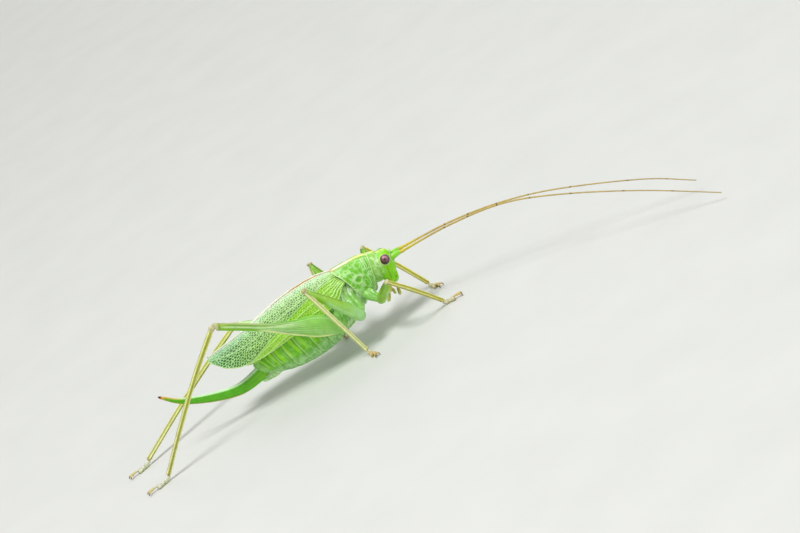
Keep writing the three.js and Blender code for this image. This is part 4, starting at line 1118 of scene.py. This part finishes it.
LEGS = {  # kind, coxa, hip, knee, ankle, toe
    "front_right": (FRONT, FRONT_COXA, (3.55, -1.85, 2.98), (4.75, -4.6, 4.95), (7.7, -2.5, 0.45),
                    (9.1, -2.62, 0.2)),
    "front_left": (FRONT, FRONT_COXA, (3.55, 1.85, 2.98), (4.47, 3.0, 6.09), (7.5, 3.1, 0.45),
                   (8.19, 1.9, 0.2)),
    "middle_right": (MIDDLE, MIDDLE_COXA, (1.64, -2.05, 2.8), (-1.21, -3.7, 7.7), (0.52, -3.0, 0.45),
                     (0.98, -4.3, 0.2)),
    "middle_left": (MIDDLE, MIDDLE_COXA, (1.64, 2.05, 2.8), (0.08, 4.4, 6.82), (-0.6, 3.3, 0.45),
                    (-0.35, 4.6, 0.2)),
    "hind_right": (HIND, HIND_COXA, (-0.18, -2.2, 2.83), (-8.84, -3.3, 8.98), (-18.14, -3.2, 0.45),
                   (-19.95, -3.7, 0.2)),
    "hind_left": (HIND, HIND_COXA, (-0.18, 2.2, 2.83), (-8.06, 6.5, 5.07), (-19.5, 2.6, 0.45),
                  (-21.2, 2.05, 0.2)),
}
AHEAD = np.array([1.0, 0.0, 0.0])
COXA_GRID, TROCHANTER_GRID, THIGH_GRID, SHIN_GRID = (90, 96), (40, 48), (260, 88), (300, 64)
COXA_FOLDS, COXA_GROOVE, COXA_LUMPS = 0.02, 0.04, 0.02
TROCHANTER, TROCHANTER_LUMPS = 0.3, 0.03
THIGH_OVERLAP = 0.3  # how far the thigh's stations reach back past the hip
RIDGES = (-0.62, -0.42, -0.2, 0.02, 0.24, 0.46, 0.66, 0.84)  # places from the lower edge to the upper
RIDGE_RISE, FURROW_DEPTH, KEEL_RISE, LOBE_RISE, KNEE_SEAM = 0.014, 0.008, 0.02, 0.03, 0.012
LOBES_AT, KNEE_SEAM_AT = 0.97, 0.945  # shares of the thigh's length
SHIN_EDGE, SHIN_END, SHIN_HEAD, SHIN_WAIST, SHIN_GRAINS = 0.03, 0.02, 0.05, 0.02, 0.004


def bend_of(hip, knee, ankle):
    """Arrows of a leg: square to the plane that it bends in, up from the thigh, and out from the
    back of the shin."""
    thigh, shin = np.subtract(knee, hip), np.subtract(ankle, knee)
    square = unit(np.cross(thigh, shin))
    up, back = unit(np.cross(square, thigh)), unit(np.cross(square, shin))
    return square, up * np.sign(up[2]), back * np.sign(back @ thigh)


def limb(start, end, sizes, rises, way):
    """Stations at even steps between two points, each moved its own way off the straight."""
    share = np.linspace(0, 1, len(sizes))[:, None]
    line = np.asarray(start) * (1 - share) + np.asarray(end) * share + np.array(rises)[:, None] * way
    return np.hstack([line, np.array(sizes)])


def coxa_stub(stations, side):
    """A coxa: a tube that tapers to the leg, with wandering folds down its length and a groove in
    its outer face."""
    points, out, along, angle = tube(mirrored(stations, side), AHEAD, COXA_GRID, caps=(0.05, 0.2))
    folds = 0.7 * np.sin(9 * angle + 4 * grain(points, 0.4, 102)) + grain(points, 0.16, 101)
    push = COXA_FOLDS * folds - COXA_GROOVE * hill(np.cos(angle) - 0.2, 0.1)
    push = push + COXA_LUMPS * grain(points, 0.3, 103)
    points = points + push[..., None] * out
    # crease paints the raised streaks of the folds pale as their highlights, and shade is painted shade in
    # the groove.
    masks = {"mint": np.full(along.shape, 0.9), "crease": ramp(folds, 0.3, 1.3) * 0.8,
             "shade": hill(np.cos(angle) - 0.2, 0.08) * 0.5}
    return closed(points, masks)


def trochanter(hip):
    """The small uneven ball between coxa and thigh."""
    stations = [(hip[0], hip[1], hip[2] + rise, TROCHANTER, TROCHANTER) for rise in (-0.2, 0, 0.2)]
    points, out, along, _ = tube(stations, AHEAD, TROCHANTER_GRID, caps=(0.5, 0.5))
    points = points + (TROCHANTER_LUMPS * grain(points, 0.2, 105))[..., None] * out
    masks = {"pale": np.full(along.shape, 0.9), "ridge": ramp(grain(points, 0.12, 106), 0.1, 0.8) * 0.4}
    return closed(points, masks)


def thigh(hip, knee, kind, square, up):
    """A thigh's tube: fine lengthwise ridges, a keel above and below, and a knee that swells into
    two rounded lobes over the root of the shin."""
    onward = unit(np.subtract(knee, hip))
    stations = limb(hip - THIGH_OVERLAP * onward, knee, kind["thigh"], kind["thigh_rise"], up)
    points, out, along, _ = tube(stations, square, THIGH_GRID, square=2.2,
                                 caps=(kind["round_end"], kind["knee_end"]))
    height, sideways = out @ up, out @ square
    flow = points @ np.stack([onward * 0.12, up, square], axis=1)
    rise = (points - points.mean(axis=1, keepdims=True)) @ up
    half = rise.max(axis=1, keepdims=True)
    ridges = sum(hill(rise - place * half, 0.02 + 0.02 * half) for place in RIDGES)
    furrows = sum(hill(rise - (place + 0.1) * half, 0.02 + 0.02 * half) for place in RIDGES)
    ridges = np.clip(ridges, 0, 1) * ramp(grain(flow, 0.3, 112), -0.7, 0.3) * ramp(along, 0.0, 0.12)
    keel = hill(np.abs(height) - 1, 0.06)
    lobe = hill(along - LOBES_AT, 0.018) * ramp(np.abs(sideways), 0.25, 0.8)
    push = RIDGE_RISE * ridges - FURROW_DEPTH * furrows + KEEL_RISE * keel + LOBE_RISE * lobe
    push = push + FINE * grain(flow, 0.06, 111) - KNEE_SEAM * hill(along - KNEE_SEAM_AT, 0.01)
    slant = kind["knee_slant"] * ramp(along, 0.92, 1.0) * (0.5 - 0.5 * rise / half)
    points = points + push[..., None] * out - slant[..., None] * onward
    masks = {
        "ridge": ridges * (0.5 + 0.45 * ramp(along, 0.25, 0.5)) * (1 - 0.6 * kind["olive"]),
        "furrow": np.clip(furrows * ramp(along, 0.15, 0.45) * ramp(along, 0.95, 0.8) * 0.85, 0, 1),
        "belly": ramp(rise + half, 0.25, 0.14) * ramp(along, 0.05, 0.14) * ramp(along, 0.7, 0.55),
        "crest": hill(rise - half + 0.1, 0.045) * ramp(along, 0.35, 0.5) * ramp(along, 0.95, 0.85) * 0.8,
        "top": ramp(rise - half, -0.08, -0.03) * ramp(along, 0.5, 0.7) * 0.8,
        # This band along the upper half of the thigh is a painted sheen.
        "white": hill(rise / half - 0.5 + 0.4 * ramp(along, 0.4, 0.8), 0.28) * ramp(along, 0.22, 0.5)
                 * ramp(along, 0.97, 0.9) * (0.75 + 0.25 * grain(flow, 0.12, 113)),
        "lime": ramp(-rise, 0.15 * half, 0.5 * half) * ramp(along, 0.55, 0.75) * 0.9,
        "pale": ramp(along, 0.6, 0.05) * 0.9,
        "olive": kind["olive"] * ramp(along, 0.03, 0.2),
        "far": ramp(along, 0.35, 0.9),
        "knee": ramp(along, 0.955, 0.975),
        "shade": hill(along - 0.948, 0.008) * 0.6,
    }
    return closed(points, masks)


def shin(stations, square, amber, cream):
    """A shin's tube: four edges stand out, with a groove along each face between them. It starts
    with a rounded head in the knee and ends in a thickened rim."""
    points, out, along, angle = tube(stations, square, SHIN_GRID, caps=(0.015, 0.02))
    edges = 0.5 - 0.5 * np.cos(4 * angle)
    push = SHIN_EDGE * (edges - 0.6) + SHIN_END * hill(along - 0.975, 0.012)
    push = push + SHIN_HEAD * hill(along - 0.012, 0.014) - SHIN_WAIST * hill(along - 0.05, 0.014)
    push = push + SHIN_GRAINS * grain(points, 0.05, 121)
    points = points + push[..., None] * out
    patchiness = 0.5 + 0.5 * grain(points * (0.4, 1, 1), 0.25, 122)
    head = ramp(along, 0.05, 0.02)
    bright, deep = ramp(edges, 0.6, 0.95), ramp(edges, 0.5, 0.1) * ramp(along, 0.02, 0.08)
    # The light mask paints the four edges pale as their highlights and the groove mask paints the grooves
    # between them dark as their shade; the noise above makes both patchy.
    masks = {
        "amber": amber * (0.7 + 0.3 * ramp(along, 0.4, 0.9)),
        "cream": cream + 0 * along,
        "groove": deep * (0.45 + 0.4 * patchiness) * (1 - 0.4 * cream),
        "light": bright * (0.5 + 0.5 * patchiness) * (1 - 0.6 * amber * ramp(along, 0.6, 0.95)),
        "dust": ramp(along, 0.45, 0.9) * 0.6 * (1 - amber) * (1 - cream),
        "root": head * 0.9,
        "joint": np.clip(ramp(along, 0.98, 0.992) * 0.8 + head * cream * 0.8, 0, 1),
    }
    return closed(points, masks)


MAP_PATCH = np.array([0.003, 0.02])  # length and breadth of a thorn's patch, as shares of its strip
RING_PLACES = (0, 0.35, 0.7)  # of a thorn's rings, as shares of its length


def thorns(roots, ways, lengths, width, where, sides):
    """Thin cones, one to each root: three rings of corners, with radii falling as 1 minus the share
    of the length, and a tip. On the map each is a small patch at the place of its root on the skin."""
    roots, ways = np.asarray(roots, float), unit(np.asarray(ways, float))
    count = len(roots)
    aside = unit(np.cross(ways, np.where(np.abs(ways[:, 2:]) > 0.8, AHEAD, (0, 0, 1.0))))
    over = np.cross(ways, aside)
    shares = np.array([*RING_PLACES, 1.0])
    line = roots[:, None] + ways[:, None] * lengths[:, None, None] * shares[None, :, None]
    turn = np.arange(sides) * 2 * np.pi / sides
    cos, sin = np.cos(turn)[None, :, None], np.sin(turn)[None, :, None]
    spokes = aside[:, None] * cos + over[:, None] * sin
    radii = width * (1 - shares[:3])
    rings = line[:, :3, None] + spokes[:, None] * radii[None, :, None, None]
    corners = np.concatenate([rings.reshape(count, -1, 3), line[:, 3:], line[:, :1]], axis=1)
    turn, after = np.arange(sides), (np.arange(sides) + 1) % sides
    wall = np.stack([turn, after, after + sides, turn + sides], axis=1)
    walls = np.vstack([wall, wall + sides])
    top = np.stack([turn + 2 * sides, after + 2 * sides, np.full(sides, 3 * sides)], axis=1)
    foot = np.stack([after, turn, np.full(sides, 3 * sides + 1)], axis=1)
    offsets = np.arange(count)[:, None, None] * (3 * sides + 2)
    faces = [(walls + offsets).reshape(-1, 4), (np.vstack([top, foot]) + offsets).reshape(-1, 3)]
    dark = np.concatenate([np.repeat(shares[:3], sides), [1, 0]])
    about = np.concatenate([np.tile(turn / sides, 3), [0.5, 0.5]])
    patch = (where[:, None] * (1 - MAP_PATCH) + np.stack([dark, about], axis=1) * MAP_PATCH).reshape(-1, 2)
    return corners.reshape(-1, 3), faces, {"tip": np.tile(dark, count)}, [patch[group] for group in faces]


SPINE, FRONT_SPINE, SPINE_WIDTH = 0.16, 0.1, 0.028  # lengths behind and in front, and half width
SPURS = {1: 0.3, -1: 0.2}  # lengths behind and in front
SPINE_LANES = 8  # on the map: four rows and four spurs


def shin_spines(stations, square, back, count, rng):
    """Two rows down the back of the shin and two sparser rows of small ones down its front, uneven
    in place, length and lean, then two pairs of longer spurs round its end."""
    roots, ways, lengths, where = [], [], [], []
    for face, number, size in ((back, count, SPINE), (-back, count // 4, FRONT_SPINE)):
        for row in (-1, 1):
            place = 0.06 + 0.9 * (np.arange(number) + 0.5 + rng.uniform(-0.25, 0.25, number)) / number
            spot = smooth(stations, place)
            ahead = unit(smooth(stations, place + 0.01)[:, :3] - smooth(stations, place - 0.01)[:, :3])
            out = unit(face + row * 0.75 * square)
            roots.append(spot[:, :3] + out * spot[:, 3:4] * 0.8)
            ways.append(out + ahead * rng.uniform(0.8, 1.3, (number, 1)))
            lengths.append(size * rng.uniform(0.75, 1.15, number))
            where.append(np.column_stack([place, np.full(number, len(where) / SPINE_LANES)]))
    end = smooth(stations, np.array([0.985]))[0]
    onward = unit(stations[-1, :3] - stations[-2, :3])
    for face in (-1, 1):
        for row in (-1, 1):
            out = unit(face * back + row * 0.8 * square)
            roots.append([end[:3] + out * end[3] * 0.8])
            ways.append([out * 0.6 + onward])
            lengths.append([SPURS[face]])
            where.append([[1.0, len(where) / SPINE_LANES]])
    return thorns(np.vstack(roots), np.vstack(ways), np.concatenate(lengths), SPINE_WIDTH,
                  np.vstack(where), sides=5)


HAIR_WIDTH, HAIR_ROOT = 0.011, 0.01  # half width, and depth in the skin
SHIN_HAIR, PAD_HAIR = 0.09, 0.1
PAD_HAIRS = 90


def fuzz(tube_parts, count, length, rng, lean=0.9, reach=(0.02, 0.98)):
    """Fine hairs at random places of a tube, each along the outward arrow plus lean times the
    way that the tube runs."""
    points, out, along = tube_parts
    low, high = np.searchsorted(along[:, 0], reach)
    row, turn = rng.integers(low, high - 1, count), rng.integers(0, points.shape[1], count)
    onward = unit(points[row + 1, turn] - points[row, turn])
    size = length * rng.uniform(0.5, 1.2, count)
    where = np.stack([row / points.shape[0], turn / points.shape[1]], axis=1)
    upright = out[row, turn]
    spots, faces, masks, patch = thorns(points[row, turn] - HAIR_ROOT * upright,
                                        upright + lean * onward, size, HAIR_WIDTH, where, sides=3)
    return spots, faces, {"light": 0.5 + 0.5 * masks["tip"]}, patch


# On both thigh skins the band that lightens the upper half of the thigh is a painted sheen.
thigh_skin = cuticle(
    "thigh_skin", (0.25, 0.62, 0.07),
    [("pale", (0.34, 0.70, 0.15)), ("far", (0.30, 0.56, 0.04)), ("furrow", (0.08, 0.33, 0.015)),
     ("ridge", (0.66, 0.95, 0.54)), ("lime", (0.24, 0.60, 0.015)), ("white", (0.66, 0.88, 0.46)),
     ("belly", (0.90, 1.0, 0.44)), ("top", (0.50, 0.54, 0.26)), ("crest", (0.18, 0.28, 0.04)),
     ("knee", (0.58, 0.56, 0.32)), ("shade", (0.26, 0.24, 0.08))],
    relief=lambda tree: mottle(tree, 16.0), depth=0.02, glow=0.2,
)
olive_skin = cuticle(
    "olive_skin", (0.30, 0.66, 0.04),
    [("pale", (0.42, 0.76, 0.36)), ("olive", (0.34, 0.60, 0.006)), ("far", (0.24, 0.52, 0.012)),
     ("furrow", (0.22, 0.50, 0.02)), ("ridge", (0.46, 0.82, 0.20)), ("lime", (0.28, 0.62, 0.02)),
     ("white", (0.36, 0.66, 0.06)), ("belly", (0.42, 0.78, 0.26)), ("top", (0.14, 0.26, 0.01)),
     ("crest", (0.16, 0.30, 0.02)), ("knee", (0.50, 0.54, 0.26)), ("shade", (0.16, 0.13, 0.05))],
    relief=lambda tree: mottle(tree, 16.0), depth=0.02, glow=0.2,
)
# On shin_skin the light colour is a painted highlight on the edges, also taken by the hairs, most at their
# tips, and the groove colour is painted shade in the grooves.
shin_skin = cuticle(
    "shin_skin", (0.56, 0.60, 0.11),
    [("amber", (0.66, 0.56, 0.03)), ("cream", (0.88, 0.96, 0.50)), ("dust", (0.52, 0.52, 0.22)),
     ("light", (0.95, 0.98, 0.48)), ("groove", (0.28, 0.26, 0.02)), ("root", (0.62, 0.57, 0.36)),
     ("joint", (0.46, 0.36, 0.14)), ("tip", (0.80, 0.76, 0.42))],
    relief=lambda tree: mottle(tree, 20.0), depth=0.012, glow=0.2,
)


# Shares of the way from ankle to toe, half width, half depth and lift of the three pads of a foot.
PADS = [(-0.05, 0.3, 0.16, 0.18, 0.17), (0.25, 0.48, 0.18, 0.17, 0.0), (0.42, 0.67, 0.29, 0.17, 0.0)]
# Then shares of the same way, heights and half widths of the last joint and of a claw, which also has
# its distance from the middle as the second number.
LAST_JOINT = [(0.5, 0.22, 0.09), (0.66, 0.29, 0.085), (0.85, 0.32, 0.11), (1.0, 0.27, 0.14)]
CLAW = [(0.96, 0.05, 0.27, 0.08), (1.04, 0.13, 0.3, 0.07), (1.11, 0.2, 0.22, 0.05),
        (1.14, 0.23, 0.05, 0.012)]
PAD_LUMPS = 0.012
CLEFT_IN, CLEFT_BACK = 0.1, 0.14  # the third pad's cleft
PAD_GRID, LAST_JOINT_GRID, CLAW_GRID = (50, 48), (60, 32), (40, 20)
GROUND = 0.004  # the least height of a foot's skin


def foot(ankle, toe, amber, rng):
    """Three pads, the third one parted into two lobes, a slender curved last joint and two hooked
    claws. Each pad's sole is pressed flat where it would reach below the ground."""
    ankle, toe = np.array(ankle, float), np.array(toe, float)
    forward = unit((toe - ankle) * (1, 1, 0))
    across = np.cross(forward, (0, 0, 1.0))

    def spot(share, sideways, height):
        place = ankle + (toe - ankle) * share + across * sideways
        return (*place[:2], height)

    surfaces = []
    for number, (start, end, wide, deep, lift) in enumerate(PADS):
        stations = [(*spot(start, 0, lift + deep + 0.05), wide * 0.6, deep * 0.8),
                    (*spot(start + (end - start) * 0.35, 0, deep + lift * 0.6), wide * 0.9, deep),
                    (*spot(start + (end - start) * 0.75, 0, deep * 0.95), wide, deep),
                    (*spot(end, 0, deep * 0.85), wide * 0.9, deep * 0.75)]
        points, out, along, angle = tube(stations, across, PAD_GRID, square=2.4, caps=(0.12, 0.3))
        if number == 2:
            middle = (points - ankle) @ across
            cleft = hill(middle, 0.07) * ramp(along, 0.3, 0.9)
            points = points - cleft[..., None] * (CLEFT_IN * out + CLEFT_BACK * forward)
        points = points + (PAD_LUMPS * grain(points, 0.08, 131 + number))[..., None] * out
        points[..., 2] = np.maximum(points[..., 2], GROUND)
        sole = ramp(points[..., 2], 0.14, 0.03)
        # The streaks are painted highlights on the pads.
        streaks = ramp(np.cos(angle * 3 + number), 0.5, 1) * ramp(along, 0.7, 0.4)
        masks = {"amber": amber * (0.6 + 0.4 * ramp(along, 0.3, 0.9)), "sole": sole * 0.8,
                 "light": streaks * 0.7,
                 "joint": np.clip(ramp(along, 0.14, 0.0) + hill(along - 0.99, 0.02), 0, 1) * 0.8}
        surfaces.append(closed(points, masks))
        hairs = fuzz((points, out * (1, 1, 0.5), along), PAD_HAIRS, PAD_HAIR, rng, lean=0.6,
                     reach=(0.15, 0.9))
        hairs[0][:, 2] = np.maximum(hairs[0][:, 2], GROUND)
        surfaces.append(hairs)
    stations = [(*spot(share, 0, height), half, half) for share, height, half in LAST_JOINT]
    points, _, along, _ = tube(stations, across, LAST_JOINT_GRID, caps=(0.05, 0.15))
    masks = {"amber": np.clip(amber + 0.3 + 0.5 * ramp(along, 0.3, 0.95), 0, 1),
             "joint": ramp(along, 0.15, 0.0) * 0.5}
    surfaces.append(closed(points, masks))
    for turn in (-1, 1):
        stations = [(*spot(share, turn * off, height), half, half) for share, off, height, half in CLAW]
        points, _, along, _ = tube(stations, across, CLAW_GRID, caps=(0.05, 0.02))
        points[..., 2] = np.maximum(points[..., 2], GROUND)
        masks = {"amber": np.full(along.shape, 0.85), "tip": ramp(along, 0.35, 0.9)}
        surfaces.append(closed(points, masks))
    return surfaces


# On foot_skin the light colour is a painted highlight on the pads' streaks.
foot_skin = cuticle(
    "foot_skin", (0.64, 0.67, 0.50),
    [("amber", (0.68, 0.50, 0.19)), ("light", (0.92, 0.90, 0.80)), ("sole", (0.60, 0.60, 0.10)),
     ("joint", (0.28, 0.22, 0.06)), ("tip", (0.10, 0.04, 0.01))],
    relief=lambda tree: mottle(tree, 18.0), depth=0.015, glow=0.25,
)
SHIN_SUNK = (0.14, 0.06)  # how far the shin starts above the knee and inwards from it
for order, (name, (kind, coxa, hip, knee, ankle, toe)) in enumerate(LEGS.items()):
    side = SIDES[name.split("_")[1]]
    square, up, back = bend_of(hip, knee, ankle)
    green = thigh_skin if kind is HIND else olive_skin
    piece(f"leg_root_{name}", [coxa_stub(coxa, side)], side_skin, [f"coxa_{name}"])
    piece(f"thigh_{name}", [thigh(hip, knee, kind, square, up), trochanter(hip)], green,
          [f"femur_{name}"])
    above, inward = unit(np.subtract(knee, ankle)), unit(np.subtract(hip, knee))
    inside = np.array(knee) + SHIN_SUNK[0] * above + SHIN_SUNK[1] * inward
    stations = limb(inside, ankle, kind["shin"], kind["shin_rise"], back)
    rng = np.random.default_rng(order)
    surfaces = [shin(stations, square, kind["amber_shin"], kind["cream_shin"])]
    surfaces.append(fuzz(tube(stations, square, SHIN_GRID)[:3], kind["hairs"], SHIN_HAIR, rng))
    if kind["spines"]:
        surfaces.append(shin_spines(stations, square, back, kind["spines"], rng))
    piece(f"shin_{name}", surfaces, shin_skin, [f"tibia_{name}"])
    piece(f"foot_{name}", foot(ankle, toe, kind["amber_foot"], rng), foot_skin,
          [f"tarsus_{name}"])

# ---------------------------------------------------------------- the display
# The model stands on a plain pale floor in soft light: a key lamp high on its right, a wide and lower
# fill lamp before its head, a wide lamp on its left, and a pale room round it.

FLOOR_REACH = 1.5
FLOOR_SHADES = (0.60, 0.61, 0.59, 1), (0.66, 0.67, 0.65, 1)
ROOM_TINT, ROOM_GLOW = (1.0, 1.0, 0.97, 1), 0.42
floor_mesh = bpy.data.meshes.new("floor")
floor_corners = [(x * FLOOR_REACH, y * FLOOR_REACH, 0) for x, y in ((-1, -1), (1, -1), (1, 1), (-1, 1))]
floor_mesh.from_pydata(floor_corners, [], [(0, 1, 2, 3)])
floor_paint = bpy.data.materials.new("floor_paint")
floor_paint.use_nodes = True
floor_shader = floor_paint.node_tree.nodes["Principled BSDF"]
floor_tint = blend(floor_paint.node_tree, mottle(floor_paint.node_tree, 0.15), *FLOOR_SHADES)
floor_paint.node_tree.links.new(floor_tint.socket, floor_shader.inputs["Base Color"])
floor_shader.inputs["Roughness"].default_value = 0.8
floor_mesh.materials.append(floor_paint)
floor = bpy.data.objects.new("floor", floor_mesh)
bpy.context.scene.collection.objects.link(floor)


def lamp(name, place, size, power):
    """A square soft lamp at a place in metres that shines at the insect's middle, 4 mm up."""
    light = bpy.data.lights.new(name, "AREA")
    light.shape = "SQUARE"
    light.size = size
    light.energy = power
    thing = bpy.data.objects.new(name, light)
    back = unit(np.array(place) - (0, 0, 0.004))
    right = unit(np.cross((0, 0, 1.0), back))
    turn = np.column_stack([right, np.cross(back, right), back])
    thing.matrix_world = Matrix.Translation(place) @ Matrix(turn.tolist()).to_4x4()
    bpy.context.scene.collection.objects.link(thing)


lamp("key_lamp", (-0.06, -0.12, 0.38), 0.14, 1.25)
lamp("fill_lamp", (0.30, -0.30, 0.14), 0.3, 0.35)
lamp("back_lamp", (0.05, 0.35, 0.25), 0.3, 0.4)
world = bpy.data.worlds.new("room")
world.use_nodes = True
background = world.node_tree.nodes["Background"]
background.inputs["Color"].default_value = ROOM_TINT
background.inputs["Strength"].default_value = ROOM_GLOW
bpy.context.scene.world = world
bpy.context.scene.view_settings.view_transform = "Standard"

# ---------------------------------------------------------------- the camera
# It looks from the insect's right side, 18 degrees down and rolled by 32 degrees, so that the body
# slants up to the head on the right.

LOOKED_AT = np.array([6.24, 0.0, 3.95])
DISTANCE = 220.0
DOWN, ROLL = np.radians(18.0), np.radians(32.0)
PICTURE_WIDTH = 64.0  # millimetres across the picture at the insect
SENSOR = 36.0
level, steep = np.array([1.0, 0, 0]), np.array([0, np.sin(DOWN), np.cos(DOWN)])
picture_x = np.cos(ROLL) * level - np.sin(ROLL) * steep
picture_y = np.sin(ROLL) * level + np.cos(ROLL) * steep
towards = np.cross(level, steep)
lens = bpy.data.cameras.new("camera")
lens.sensor_width = SENSOR
lens.lens = SENSOR * DISTANCE / PICTURE_WIDTH
lens.clip_start = 0.01
camera = bpy.data.objects.new("camera", lens)
spot = (LOOKED_AT + towards * DISTANCE + SHIFT) * MM
turn = Matrix(np.column_stack([picture_x, picture_y, towards]).tolist()).to_4x4()
camera.matrix_world = Matrix.Translation(spot) @ turn
bpy.context.scene.collection.objects.link(camera)
bpy.context.scene.camera = camera
